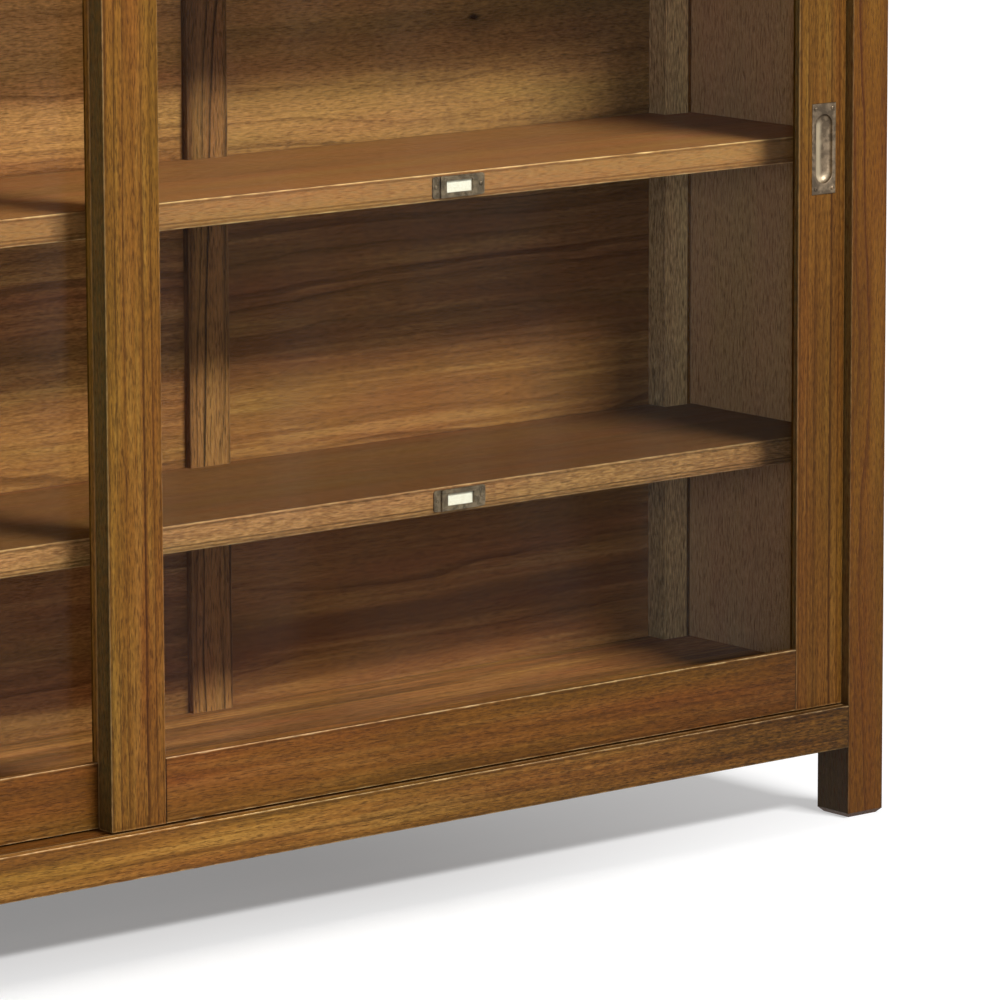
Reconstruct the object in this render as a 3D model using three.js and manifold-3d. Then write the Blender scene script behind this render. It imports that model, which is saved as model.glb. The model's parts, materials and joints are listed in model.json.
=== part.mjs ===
// A low bookcase in stained hardwood with two glazed sliding doors.
// Millimetres, +Z up, the front faces -Y, the origin is on the floor under the middle of the outer box.
// Inside the case group x runs from the middle, y back from the front of the posts, z up from the floor.
// Inside a door group x, y and z run from the door's lower left front corner.

import * as THREE from 'three';
import { mergeVertices } from 'three/addons/utils/BufferGeometryUtils.js';
import Module from 'manifold-3d';

const wasm = await Module();
wasm.setup();

// Driving sizes of the case
const CASE_WIDTH = 1964;
const CASE_DEPTH = 351;
const CASE_HEIGHT = 1400;
const POST_SIZE = 50;
const LEG_CLEARANCE = 78;
const RAIL_HEIGHT = 46;
const RAIL_THICKNESS = 22;
const TOP_THICKNESS = 28;
const TOP_OVERHANG = 12;
const FLOOR_THICKNESS = 26;
const FLOOR_BEARING = 20;
const SHELF_COUNT = 3;
const SHELF_THICKNESS = 28;
const LOWEST_BAY_HEIGHT = 232;
const SHELF_PITCH = 322;
const HIGHEST_SHELF_DROP = 38;
const SHELF_CLEARANCE = 7.5;
const BACK_BAY_COUNT = 3;
const BACK_STILE_WIDTH = 52;
const BACK_STILE_PROUD = 10;
const BACK_PANEL_INSET = 22;
const BACK_PANEL_THICKNESS = 8;
const SIDE_PANEL_THICKNESS = 9;
const SIDE_PANEL_SETBACK = 4;
const BEARER_THICKNESS = 30;
const BEARER_HEIGHT = 40;

// Driving sizes of the doors and their tracks
const DOOR_THICKNESS = 22;
const DOOR_FRAME_WIDTH = 66;
const DOOR_SETBACK = 10.5;
const DOOR_BOTTOM_GAP = 2;
const DOOR_TOP_GAP = 3;
const DOOR_SIDE_GAP = 1;
const DOOR_TO_DOOR_GAP = 3;
const GLASS_THICKNESS = 4;
const GLASS_SETBACK = 7;
const GLASS_SEAT_DEPTH = 7;
const REAR_LIP_INSET = 1.2;
const TONGUE_THICKNESS = 7;
const TONGUE_HEIGHT = 10;
const GROOVE_WIDTH = 8;
const BOTTOM_GROOVE_DEPTH = 5;
const TOP_GROOVE_DEPTH = 18;
const BOTTOM_TRACK_THICKNESS = 20;
const TOP_TRACK_THICKNESS = 26;
const TOP_TRACK_WALL = 11.5;
const APRON_LIP = 9;

// Driving sizes of the rollers and their housings
const ROLLER_DIAMETER = 20;
const ROLLER_WIDTH = 6;
const ROLLER_FROM_STILE = 46;
const ROLLER_RIM_EASE = 1;
const ROLLER_CLEARANCE = 3;
const HUB_WIDTH = 7;
const HUB_DIAMETER = 9;
const AXLE_DIAMETER = 4;
const AXLE_INSET = 0.5;
const HOUSING_WALL = 3;
const HOUSING_CHEEK = 2.2;
const HOUSING_ROOF = 2;
const HOUSING_CORNER_RADIUS = 2;
const FLANGE_EAR = 9;
const FLANGE_THICKNESS = 1.5;

// Driving sizes of the flush pulls and the label holders
const PULL_WIDTH = 33;
const PULL_HEIGHT = 96;
const PULL_PLATE_THICKNESS = 1.6;
const PULL_PROUD = 0.8;
const PULL_CORNER_RADIUS = 1.5;
const PULL_EDGE_DISTANCE = 31;
const DISH_WIDTH = 23;
const DISH_HEIGHT = 73;
const DISH_DEPTH = 8;
const DISH_WALL_RUN = 5;
const DISH_SHEET = 1.2;
const HOLDER_WIDTH = 68;
const HOLDER_HEIGHT = 22;
const HOLDER_EAR_THICKNESS = 1;
const HOLDER_CORNER_RADIUS = 3;
const BEZEL_WIDTH = 49;
const BEZEL_THICKNESS = 3;
const BEZEL_CORNER_RADIUS = 0.8;
const WINDOW_WIDTH = 34;
const WINDOW_HEIGHT = 12;
const CARD_MARGIN = 3;
const CARD_THICKNESS = 0.6;

// Joinery
const FIT = 0.3;
const OVERRUN = 5;
const TENON_LENGTH = 25;
const TENON_THICKNESS = 8;
const TENON_ROOT = 5;
const TENON_SHOULDER = 6;
const PANEL_SEAT_DEPTH = 6;
const SHELF_HOUSING_DEPTH = 3;
const EDGE_EASE = 2;
const DOOR_EDGE_EASE = 1.2;
const FOOT_CHAMFER = 5.5;

// Steps that round corners, dishes and wheels are drawn with
const CORNER_STEPS = 3;
const DISH_STEPS = 4;
const ROUND_STEPS = 24;
const BORE_STEPS = 12;
const SQUARE_SIDES = 4;

// Places in the case that follow from the driving sizes
const HALF_WIDTH = CASE_WIDTH / 2;
const OPENING_HALF = HALF_WIDTH - POST_SIZE;
const BACK_POST_FRONT = CASE_DEPTH - POST_SIZE;
const RAIL_TOP = LEG_CLEARANCE + RAIL_HEIGHT;
const FLOOR_TOP = RAIL_TOP + FLOOR_THICKNESS;
const CASE_TOP = CASE_HEIGHT - TOP_THICKNESS;
const TOP_RAIL_BOTTOM = CASE_TOP - RAIL_HEIGHT;
const PANEL_OUTER = HALF_WIDTH - SIDE_PANEL_SETBACK;
const PANEL_INNER = PANEL_OUTER - SIDE_PANEL_THICKNESS;
const BACK_PANEL_FRONT = CASE_DEPTH - BACK_PANEL_INSET;
const BACK_STILE_FRONT = BACK_PANEL_FRONT - BACK_STILE_PROUD;
const BACK_STILE_CENTRE = PANEL_INNER / BACK_BAY_COUNT;
const BACK_STILE_HALF = BACK_STILE_WIDTH / 2;
const OVERALL_DEPTH = CASE_DEPTH + TOP_OVERHANG;

// Places of the doors; the right one runs in the front groove
const DOOR_BOTTOM = RAIL_TOP + DOOR_BOTTOM_GAP;
const DOOR_HEIGHT = TOP_RAIL_BOTTOM - DOOR_TOP_GAP - DOOR_BOTTOM;
const DOOR_WIDTH = OPENING_HALF + DOOR_FRAME_WIDTH / 2;
const DOOR_MIDDLE_Y = DOOR_THICKNESS / 2;
const DOOR_FRONTS = {
  right: DOOR_SETBACK,
  left: DOOR_SETBACK + DOOR_THICKNESS + DOOR_TO_DOOR_GAP,
};
const SHELF_SETBACK = DOOR_FRONTS.left + DOOR_THICKNESS + SHELF_CLEARANCE;
const BOTTOM_TRACK_BACK = SHELF_SETBACK + FLOOR_BEARING;
const TOP_TRACK_BACK = DOOR_FRONTS.left + DOOR_MIDDLE_Y + GROOVE_WIDTH / 2 + TOP_TRACK_WALL;
const ROLLER_RADIUS = ROLLER_DIAMETER / 2;
const ROLLER_AXIS_HEIGHT = ROLLER_RADIUS + FIT - BOTTOM_GROOVE_DEPTH - DOOR_BOTTOM_GAP;
const SIDES = { left: -1, right: 1 };

// Boxes: three ranges, each [from, to]
const sorted = (a, b) => [Math.min(a, b), Math.max(a, b)];
const around = (middle, size) => [middle - size / 2, middle + size / 2];
const middleOf = ([from, to]) => (from + to) / 2;
const grow = (box, by) => ({
  x: [box.x[0] - by, box.x[1] + by],
  y: [box.y[0] - by, box.y[1] + by],
  z: [box.z[0] - by, box.z[1] + by],
});

function block({ x, y, z }) {
  const geometry = new THREE.BoxGeometry(x[1] - x[0], y[1] - y[0], z[1] - z[0]);
  return geometry.translate(middleOf(x), middleOf(y), middleOf(z));
}

// Outlines: corners [u, v] with an optional radius as third value
function outline(corners) {
  const shape = new THREE.Shape();
  corners.forEach(([u, v, radius = 0], index) => {
    const towards = ([nextU, nextV]) =>
      new THREE.Vector2(nextU - u, nextV - v).setLength(radius).add(new THREE.Vector2(u, v));
    const start = towards(corners.at(index - 1));
    const end = towards(corners[(index + 1) % corners.length]);
    if (index === 0) shape.moveTo(start.x, start.y);
    else shape.lineTo(start.x, start.y);
    if (radius > 0) shape.quadraticCurveTo(u, v, end.x, end.y);
  });
  shape.closePath();
  return shape;
}

const rectangle = ([u0, u1], [v0, v1], radius = 0) =>
  outline([[u0, v0, radius], [u1, v0, radius], [u1, v1, radius], [u0, v1, radius]]);

// An upright slot with round ends
function stadium(centreU, centreV, width, height) {
  const radius = width / 2;
  const straight = height / 2 - radius;
  const shape = new THREE.Shape();
  shape.absarc(centreU, centreV + straight, radius, 0, Math.PI);
  shape.absarc(centreU, centreV - straight, radius, Math.PI, Math.PI * 2);
  shape.closePath();
  return shape;
}

// Pushes an outline along x, y or z; its u and v are then y and z, x and z, or x and y
function extrude(shape, along, [from, to], options = {}) {
  const geometry = new THREE.ExtrudeGeometry(shape, {
    depth: to - from,
    curveSegments: CORNER_STEPS,
    bevelEnabled: false,
    ...options,
  });
  const axis = {
    x: new THREE.Vector3(1, 0, 0),
    y: new THREE.Vector3(0, 1, 0),
    z: new THREE.Vector3(0, 0, 1),
  };
  const turned = new THREE.Matrix4();
  if (along === 'x') turned.makeBasis(axis.y, axis.z, axis.x).setPosition(from, 0, 0);
  if (along === 'y') turned.makeBasis(axis.x, axis.z, axis.y.negate()).setPosition(0, to, 0);
  if (along === 'z') turned.setPosition(0, 0, from);
  return geometry.applyMatrix4(turned);
}

// A straight board or bar whose four long edges are eased
function bar(box, along, ease = EDGE_EASE) {
  const across = { x: ['y', 'z'], y: ['x', 'z'], z: ['x', 'y'] }[along];
  return extrude(rectangle(box[across[0]], box[across[1]], ease), along, box[along]);
}

// Solids are joined and cut by the boolean library and come back as geometry
function toSolid(geometry) {
  const plain = geometry.clone();
  plain.deleteAttribute('normal');
  plain.deleteAttribute('uv');
  const merged = mergeVertices(plain);
  return new wasm.Manifold(new wasm.Mesh({
    numProp: 3,
    vertProperties: merged.attributes.position.array,
    triVerts: new Uint32Array(merged.index.array),
  }));
}

function toGeometry(solid) {
  const { vertProperties, triVerts } = solid.getMesh();
  const geometry = new THREE.BufferGeometry();
  geometry.setAttribute('position', new THREE.BufferAttribute(vertProperties, 3));
  geometry.setIndex(new THREE.BufferAttribute(triVerts, 1));
  geometry.computeVertexNormals();
  return geometry;
}

function carve(base, { join = [], cut = [], keep = [] }) {
  let solid = toSolid(base);
  for (const part of join) solid = solid.add(toSolid(part));
  for (const part of cut) solid = solid.subtract(toSolid(part));
  for (const part of keep) solid = solid.intersect(toSolid(part));
  return toGeometry(solid);
}

// Finishes
const stained = (color, roughness) => new THREE.MeshStandardMaterial({ color, roughness, metalness: 0 });
const metal = (color, roughness) => new THREE.MeshStandardMaterial({ color, roughness, metalness: 1 });
const finishes = {
  frameWood: stained('#7d5526', 0.45),
  doorWood: stained('#875a26', 0.42),
  shelfWood: stained('#84572f', 0.38),
  panelWood: stained('#6d4b28', 0.5),
  hiddenWood: stained('#a88557', 0.65),
  glass: new THREE.MeshStandardMaterial({
    color: '#dfe6e0',
    roughness: 0.05,
    metalness: 0,
    transparent: true,
    opacity: 0.25,
  }),
  pewter: metal('#6f6654', 0.42),
  card: stained('#ebe4d0', 0.8),
  steel: metal('#9a9b9a', 0.35),
  nylon: stained('#dcd8cc', 0.5),
};

// A mesh whose own origin is the middle of its box
function piece(name, geometry, material) {
  geometry.computeBoundingBox();
  const centre = geometry.boundingBox.getCenter(new THREE.Vector3());
  const mesh = new THREE.Mesh(geometry.translate(-centre.x, -centre.y, -centre.z), material);
  mesh.position.copy(centre);
  mesh.name = name;
  return mesh;
}

// Tenons: each is a box that starts inside its rail and that its post is mortised for
const frontTenon = (side, outerZ, rebateZ) => ({
  x: sorted(side * (OPENING_HALF - TENON_ROOT), side * (OPENING_HALF + TENON_LENGTH)),
  y: around(RAIL_THICKNESS / 2, TENON_THICKNESS),
  z: sorted(outerZ + Math.sign(rebateZ - outerZ) * TENON_SHOULDER, rebateZ),
});

const shouldered = ([bottom, top]) => [bottom + TENON_SHOULDER, top - TENON_SHOULDER];

const sideRailX = (side) => sorted(side * (HALF_WIDTH - RAIL_THICKNESS), side * HALF_WIDTH);

const sideTenon = (side, row, z) => ({
  x: around(middleOf(sideRailX(side)), TENON_THICKNESS),
  y: row === 'front'
    ? [POST_SIZE - TENON_LENGTH, POST_SIZE + TENON_ROOT]
    : [BACK_POST_FRONT - TENON_ROOT, BACK_POST_FRONT + TENON_LENGTH],
  z: shouldered(z),
});

const BACK_FRAME_Y = [BACK_STILE_FRONT, BACK_STILE_FRONT + RAIL_THICKNESS];

const backTenon = (side, z) => ({
  x: sorted(side * (OPENING_HALF - TENON_ROOT), side * (OPENING_HALF + TENON_LENGTH)),
  y: around(middleOf(BACK_FRAME_Y), TENON_THICKNESS),
  z: shouldered(z),
});

const BOTTOM_RAIL_Z = [LEG_CLEARANCE, RAIL_TOP];
const TOP_RAIL_Z = [TOP_RAIL_BOTTOM, CASE_TOP - FIT];
const FRONT_RAILS = {
  bottom: {
    outerZ: LEG_CLEARANCE,
    innerZ: RAIL_TOP,
    rebateZ: RAIL_TOP - BOTTOM_TRACK_THICKNESS,
  },
  top: {
    outerZ: CASE_TOP - FIT,
    innerZ: TOP_RAIL_BOTTOM,
    rebateZ: TOP_RAIL_BOTTOM + TOP_TRACK_THICKNESS,
  },
};

// Panels: each sits in a groove all round, and every neighbour is cut by the panel's own box
const PANEL_Z = [RAIL_TOP - PANEL_SEAT_DEPTH + FIT, TOP_RAIL_BOTTOM + PANEL_SEAT_DEPTH - FIT];

const sidePanelBox = (side) => ({
  x: sorted(side * PANEL_INNER, side * PANEL_OUTER),
  y: [POST_SIZE - PANEL_SEAT_DEPTH + FIT, BACK_POST_FRONT + PANEL_SEAT_DEPTH - FIT],
  z: PANEL_Z,
});

const BACK_PANEL_Y = [BACK_PANEL_FRONT, BACK_PANEL_FRONT + BACK_PANEL_THICKNESS];
const STILE_SEAT = BACK_STILE_CENTRE - BACK_STILE_HALF + PANEL_SEAT_DEPTH - FIT;
const STILE_FAR_SEAT = BACK_STILE_CENTRE + BACK_STILE_HALF - PANEL_SEAT_DEPTH + FIT;
const POST_SEAT = OPENING_HALF + PANEL_SEAT_DEPTH - FIT;
const backPanelBoxes = {
  left: { x: [-POST_SEAT, -STILE_FAR_SEAT], y: BACK_PANEL_Y, z: PANEL_Z },
  middle: { x: [-STILE_SEAT, STILE_SEAT], y: BACK_PANEL_Y, z: PANEL_Z },
  right: { x: [STILE_FAR_SEAT, POST_SEAT], y: BACK_PANEL_Y, z: PANEL_Z },
};
const panelGrooves = [
  ...Object.values(SIDES).map((side) => block(grow(sidePanelBox(side), FIT))),
  ...Object.values(backPanelBoxes).map((box) => block(grow(box, FIT))),
];

const postBox = (side, row) => ({
  x: sorted(side * OPENING_HALF, side * HALF_WIDTH),
  y: row === 'front' ? [0, POST_SIZE] : [BACK_POST_FRONT, CASE_DEPTH],
  z: [0, CASE_TOP - FIT],
});

const backStileBox = (side) => ({
  x: around(side * BACK_STILE_CENTRE, BACK_STILE_WIDTH),
  y: BACK_FRAME_Y,
  z: [RAIL_TOP + FIT, TOP_RAIL_BOTTOM - FIT],
});

// The square foot is narrowed to the floor by a chamfer on all four edges
function footTaper({ x, y, z }) {
  const bottomHalf = POST_SIZE / 2 - FOOT_CHAMFER;
  const height = z[1] + OVERRUN;
  const corner = (half) => half * Math.SQRT2;
  const taper = new THREE.CylinderGeometry(
    corner(bottomHalf + height), corner(bottomHalf), height, SQUARE_SIDES, 1, false, Math.PI / SQUARE_SIDES,
  );
  return taper.rotateX(Math.PI / 2).translate(middleOf(x), middleOf(y), height / 2);
}

function cornerPost(side, row) {
  const box = postBox(side, row);
  const { bottom, top } = FRONT_RAILS;
  const longTenons = row === 'front'
    ? [frontTenon(side, bottom.outerZ, bottom.rebateZ), frontTenon(side, top.outerZ, top.rebateZ)]
    : [backTenon(side, BOTTOM_RAIL_Z), backTenon(side, TOP_RAIL_Z)];
  const tenons = [...longTenons, sideTenon(side, row, BOTTOM_RAIL_Z), sideTenon(side, row, TOP_RAIL_Z)];
  return carve(bar(box, 'z'), {
    keep: [footTaper(box)],
    cut: [...tenons.map((tenon) => block(grow(tenon, FIT))), ...panelGrooves],
  });
}

// The front rails have an L section: a lip hides the front of the track board
function frontRail({ outerZ, innerZ, rebateZ }) {
  const section = outline([
    [0, outerZ, EDGE_EASE],
    [RAIL_THICKNESS, outerZ, EDGE_EASE],
    [RAIL_THICKNESS, rebateZ],
    [APRON_LIP, rebateZ],
    [APRON_LIP, innerZ],
    [0, innerZ, EDGE_EASE],
  ]);
  const length = [-OPENING_HALF + FIT, OPENING_HALF - FIT];
  const tenons = Object.values(SIDES).map((side) => block(frontTenon(side, outerZ, rebateZ)));
  return carve(extrude(section, 'x', length), { join: tenons });
}

function sideRail(side, z) {
  const box = { x: sideRailX(side), y: [POST_SIZE + FIT, BACK_POST_FRONT - FIT], z };
  const tenons = ['front', 'back'].map((row) => block(sideTenon(side, row, z)));
  return carve(bar(box, 'y'), { join: tenons, cut: panelGrooves });
}

// The back stiles have a stub at each end that fills the rails' panel groove between two panels
const stileStub = (side) => ({
  x: around(side * BACK_STILE_CENTRE, BACK_STILE_WIDTH - 2 * PANEL_SEAT_DEPTH - 2 * FIT),
  y: BACK_PANEL_Y,
  z: PANEL_Z,
});

const backStile = (side) =>
  carve(bar(backStileBox(side), 'z'), { cut: panelGrooves, join: [block(stileStub(side))] });

function backRail(z) {
  const box = { x: [-OPENING_HALF + FIT, OPENING_HALF - FIT], y: BACK_FRAME_Y, z };
  const tenons = Object.values(SIDES).map((side) => block(backTenon(side, z)));
  const stubSeats = Object.values(SIDES).map((side) => block(grow(stileStub(side), FIT)));
  return carve(bar(box, 'x'), { join: tenons, cut: [...panelGrooves, ...stubSeats] });
}

// Floor and shelves share one plan: notched round the back posts and the back stiles
function bayBoard(z, endOverlap) {
  const half = PANEL_INNER + endOverlap - FIT;
  const board = { x: [-half, half], y: [SHELF_SETBACK, BACK_PANEL_FRONT - FIT], z };
  const notches = Object.values(SIDES).flatMap((side) => [
    { ...grow(postBox(side, 'back'), FIT), z: [z[0] - OVERRUN, z[1] + OVERRUN] },
    { ...grow(backStileBox(side), FIT), z: [z[0] - OVERRUN, z[1] + OVERRUN] },
  ]);
  return carve(bar(board, 'x'), { cut: notches.map(block) });
}

// The highest shelf sits a little lower than the even pitch would put it
const shelfZ = (index) => {
  const drop = index === SHELF_COUNT - 1 ? HIGHEST_SHELF_DROP : 0;
  const bottom = FLOOR_TOP + LOWEST_BAY_HEIGHT + index * SHELF_PITCH - drop;
  return [bottom, bottom + SHELF_THICKNESS];
};
const shelves = Array.from({ length: SHELF_COUNT }, (_, index) => index);

// The shelf ends are let into shallow housings in the side panels
function sidePanel(side) {
  const housings = shelves.map((index) => block(grow({
    x: sorted(side * (PANEL_INNER - OVERRUN), side * (PANEL_INNER + SHELF_HOUSING_DEPTH - FIT)),
    y: [SHELF_SETBACK, BACK_POST_FRONT],
    z: shelfZ(index),
  }, FIT)));
  return carve(block(sidePanelBox(side)), { cut: housings });
}

// Track boards, grooved under and over the middle of each door
function trackBoard(z, back, grooveZ) {
  const board = { x: [-OPENING_HALF + FIT, OPENING_HALF - FIT], y: [APRON_LIP + FIT, back], z };
  const grooves = Object.values(DOOR_FRONTS).map((front) => block({
    x: [board.x[0] - OVERRUN, board.x[1] + OVERRUN],
    y: around(front + DOOR_MIDDLE_Y, GROOVE_WIDTH),
    z: grooveZ,
  }));
  return carve(block(board), { cut: grooves });
}

const bottomTrack = () => trackBoard(
  [RAIL_TOP - BOTTOM_TRACK_THICKNESS + FIT, RAIL_TOP],
  BOTTOM_TRACK_BACK,
  [RAIL_TOP - BOTTOM_GROOVE_DEPTH, RAIL_TOP + OVERRUN],
);

const topTrack = () => trackBoard(
  [TOP_RAIL_BOTTOM, TOP_RAIL_BOTTOM + TOP_TRACK_THICKNESS - FIT],
  TOP_TRACK_BACK,
  [TOP_RAIL_BOTTOM - OVERRUN, TOP_RAIL_BOTTOM + TOP_GROOVE_DEPTH],
);

// The bearer runs from apron to back rail, stepped to go under the track board and the floor
function floorBearer() {
  const front = RAIL_THICKNESS + FIT;
  const back = BACK_STILE_FRONT - FIT;
  const step = BOTTOM_TRACK_BACK + FIT;
  const section = outline([
    [front, RAIL_TOP - BEARER_HEIGHT],
    [back, RAIL_TOP - BEARER_HEIGHT],
    [back, RAIL_TOP],
    [step, RAIL_TOP],
    [step, RAIL_TOP - BOTTOM_TRACK_THICKNESS],
    [front, RAIL_TOP - BOTTOM_TRACK_THICKNESS],
  ]);
  return extrude(section, 'x', around(0, BEARER_THICKNESS));
}

const topBoard = () => bar({
  x: [-HALF_WIDTH - TOP_OVERHANG, HALF_WIDTH + TOP_OVERHANG],
  y: [-TOP_OVERHANG, CASE_DEPTH],
  z: [CASE_TOP, CASE_HEIGHT],
}, 'x');

// Label holders: thin ears behind a thicker frame, whose back is rebated for the card
function labelHolder(centreX, centreZ) {
  const back = SHELF_SETBACK - FIT;
  const plate = (width, height, y, radius) =>
    extrude(rectangle(around(centreX, width), around(centreZ, height), radius), 'y', y);
  const front = back - BEZEL_THICKNESS;
  const earFront = back - HOLDER_EAR_THICKNESS;
  const ears = plate(HOLDER_WIDTH, HOLDER_HEIGHT, [earFront, back], HOLDER_CORNER_RADIUS);
  const bezel = plate(BEZEL_WIDTH, HOLDER_HEIGHT, [front, back], BEZEL_CORNER_RADIUS);
  const opening = plate(WINDOW_WIDTH, WINDOW_HEIGHT, [front - OVERRUN, back + OVERRUN]);
  const cardSeat = block(grow(labelCardBox(centreX, centreZ), FIT));
  return carve(ears, { join: [bezel], cut: [opening, cardSeat] });
}

const labelCardBox = (centreX, centreZ) => ({
  x: around(centreX, WINDOW_WIDTH + 2 * CARD_MARGIN),
  y: [SHELF_SETBACK - FIT - CARD_THICKNESS, SHELF_SETBACK - FIT],
  z: around(centreZ, WINDOW_HEIGHT + 2 * CARD_MARGIN),
});

// Doors
const DOOR_STILES = {
  left: [0, DOOR_FRAME_WIDTH],
  right: [DOOR_WIDTH - DOOR_FRAME_WIDTH, DOOR_WIDTH],
};
const DOOR_RAILS = {
  bottom: [0, DOOR_FRAME_WIDTH],
  top: [DOOR_HEIGHT - DOOR_FRAME_WIDTH, DOOR_HEIGHT],
};
const GLASS_EDGE = DOOR_FRAME_WIDTH - GLASS_SEAT_DEPTH + FIT;
const glassBox = {
  x: [GLASS_EDGE, DOOR_WIDTH - GLASS_EDGE],
  y: [GLASS_SETBACK, GLASS_SETBACK + GLASS_THICKNESS],
  z: [GLASS_EDGE, DOOR_HEIGHT - GLASS_EDGE],
};
const glassGroove = () => block(grow(glassBox, FIT));

// Behind the glass the frame is splayed back on all four sides, so its rear lip hides nothing
function rearSplay() {
  const run = DOOR_THICKNESS - GLASS_SETBACK - GLASS_THICKNESS;
  const edge = DOOR_FRAME_WIDTH - REAR_LIP_INSET;
  const opening = rectangle([edge, DOOR_WIDTH - edge], [edge, DOOR_HEIGHT - edge]);
  return extrude(opening, 'y', [DOOR_THICKNESS, DOOR_THICKNESS + OVERRUN], {
    bevelEnabled: true,
    bevelThickness: run,
    bevelSize: run,
    bevelSegments: 1,
  });
}

const doorTenon = (end, z) => ({
  x: end === 'left'
    ? [DOOR_FRAME_WIDTH - TENON_LENGTH, DOOR_FRAME_WIDTH + TENON_ROOT]
    : [DOOR_WIDTH - DOOR_FRAME_WIDTH - TENON_ROOT, DOOR_WIDTH - DOOR_FRAME_WIDTH + TENON_LENGTH],
  y: around(DOOR_MIDDLE_Y, TENON_THICKNESS),
  z: shouldered(z),
});

// The tongue on the door's top edge slides in the groove of the top track
const doorTongue = (x) => block({
  x,
  y: around(DOOR_MIDDLE_Y, TONGUE_THICKNESS),
  z: [DOOR_HEIGHT - FIT, DOOR_HEIGHT + TONGUE_HEIGHT],
});

// The dish starts just behind the front of the pull's plate
const DISH_MOUTH_Y = FIT - PULL_PROUD;
const PLATE_BACK_Y = PULL_PLATE_THICKNESS - PULL_PROUD;

const pullCentre = (end) => ({
  x: end === 'left' ? PULL_EDGE_DISTANCE : DOOR_WIDTH - PULL_EDGE_DISTANCE,
  z: DOOR_HEIGHT / 2,
});

// The stile is sunk for the pull's plate and routed deeper for its dish
function pullSeat(end) {
  const { x, z } = pullCentre(end);
  const room = 2 * (DISH_SHEET + FIT);
  const plateSeat = block({
    x: around(x, PULL_WIDTH + 2 * FIT),
    y: [-OVERRUN, PLATE_BACK_Y + FIT],
    z: around(z, PULL_HEIGHT + 2 * FIT),
  });
  const dishSeat = extrude(
    stadium(x, z, DISH_WIDTH + room, DISH_HEIGHT + room),
    'y',
    [-OVERRUN, DISH_MOUTH_Y + DISH_DEPTH + DISH_SHEET + FIT],
  );
  return [plateSeat, dishSeat];
}

function doorStile(end, hasPull) {
  const box = { x: DOOR_STILES[end], y: [0, DOOR_THICKNESS], z: [0, DOOR_HEIGHT] };
  const mortises = Object.values(DOOR_RAILS).map((z) => block(grow(doorTenon(end, z), FIT)));
  return carve(bar(box, 'z', DOOR_EDGE_EASE), {
    join: [doorTongue(box.x)],
    cut: [glassGroove(), rearSplay(), ...mortises, ...(hasPull ? pullSeat(end) : [])],
  });
}

const DOOR_RAIL_X = [DOOR_FRAME_WIDTH + FIT, DOOR_WIDTH - DOOR_FRAME_WIDTH - FIT];

function doorRail(level, { join = [], cut = [] }) {
  const z = DOOR_RAILS[level];
  const box = { x: DOOR_RAIL_X, y: [0, DOOR_THICKNESS], z };
  const tenons = ['left', 'right'].map((end) => block(doorTenon(end, z)));
  return carve(bar(box, 'x', DOOR_EDGE_EASE), {
    join: [...tenons, ...join],
    cut: [glassGroove(), rearSplay(), ...cut],
  });
}

// A dish with straight mouth and rounded floor, as a solid to add or to take away
function dishForm(x, z, spread, mouth, depth) {
  const run = DISH_WALL_RUN;
  const flat = stadium(x, z, DISH_WIDTH + 2 * spread - 2 * run, DISH_HEIGHT + 2 * spread - 2 * run);
  return extrude(flat, 'y', mouth, {
    curveSegments: DISH_STEPS * 2,
    bevelEnabled: true,
    bevelThickness: depth,
    bevelSize: run,
    bevelSegments: DISH_STEPS,
  });
}

function flushPull(end) {
  const { x, z } = pullCentre(end);
  const plateY = [-PULL_PROUD, PLATE_BACK_Y];
  const plateOutline = rectangle(around(x, PULL_WIDTH), around(z, PULL_HEIGHT), PULL_CORNER_RADIUS);
  const behindPlate = block({
    x: around(x, PULL_WIDTH),
    y: [plateY[0], plateY[1] + DISH_DEPTH + OVERRUN],
    z: around(z, PULL_HEIGHT),
  });
  const mouth = [DISH_MOUTH_Y - OVERRUN, DISH_MOUTH_Y];
  const hollow = dishForm(x, z, 0, mouth, DISH_DEPTH);
  const shell = dishForm(x, z, DISH_SHEET, mouth, DISH_DEPTH + DISH_SHEET);
  return carve(extrude(plateOutline, 'y', plateY), { join: [shell], keep: [behindPlate], cut: [hollow] });
}

// Rollers: a nylon wheel on an axle pin, in a slotted steel housing let into the bottom rail
const ROLLER_INSET = DOOR_FRAME_WIDTH + ROLLER_FROM_STILE;
const rollerPlaces = { left: ROLLER_INSET, right: DOOR_WIDTH - ROLLER_INSET };
const SLOT_WIDTH = HUB_WIDTH + 2 * FIT;
const SLOT_LENGTH = ROLLER_DIAMETER + 2 * ROLLER_CLEARANCE;
const SLOT_TOP = ROLLER_AXIS_HEIGHT + ROLLER_RADIUS + ROLLER_CLEARANCE / 2;
const HOUSING_WIDTH = SLOT_WIDTH + 2 * HOUSING_CHEEK;
const HOUSING_LENGTH = SLOT_LENGTH + 2 * HOUSING_WALL;
const AXLE_LENGTH = HOUSING_WIDTH - 2 * AXLE_INSET;

const onRollerAxis = (geometry, place) =>
  geometry.translate(rollerPlaces[place], DOOR_MIDDLE_Y, ROLLER_AXIS_HEIGHT);

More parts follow.
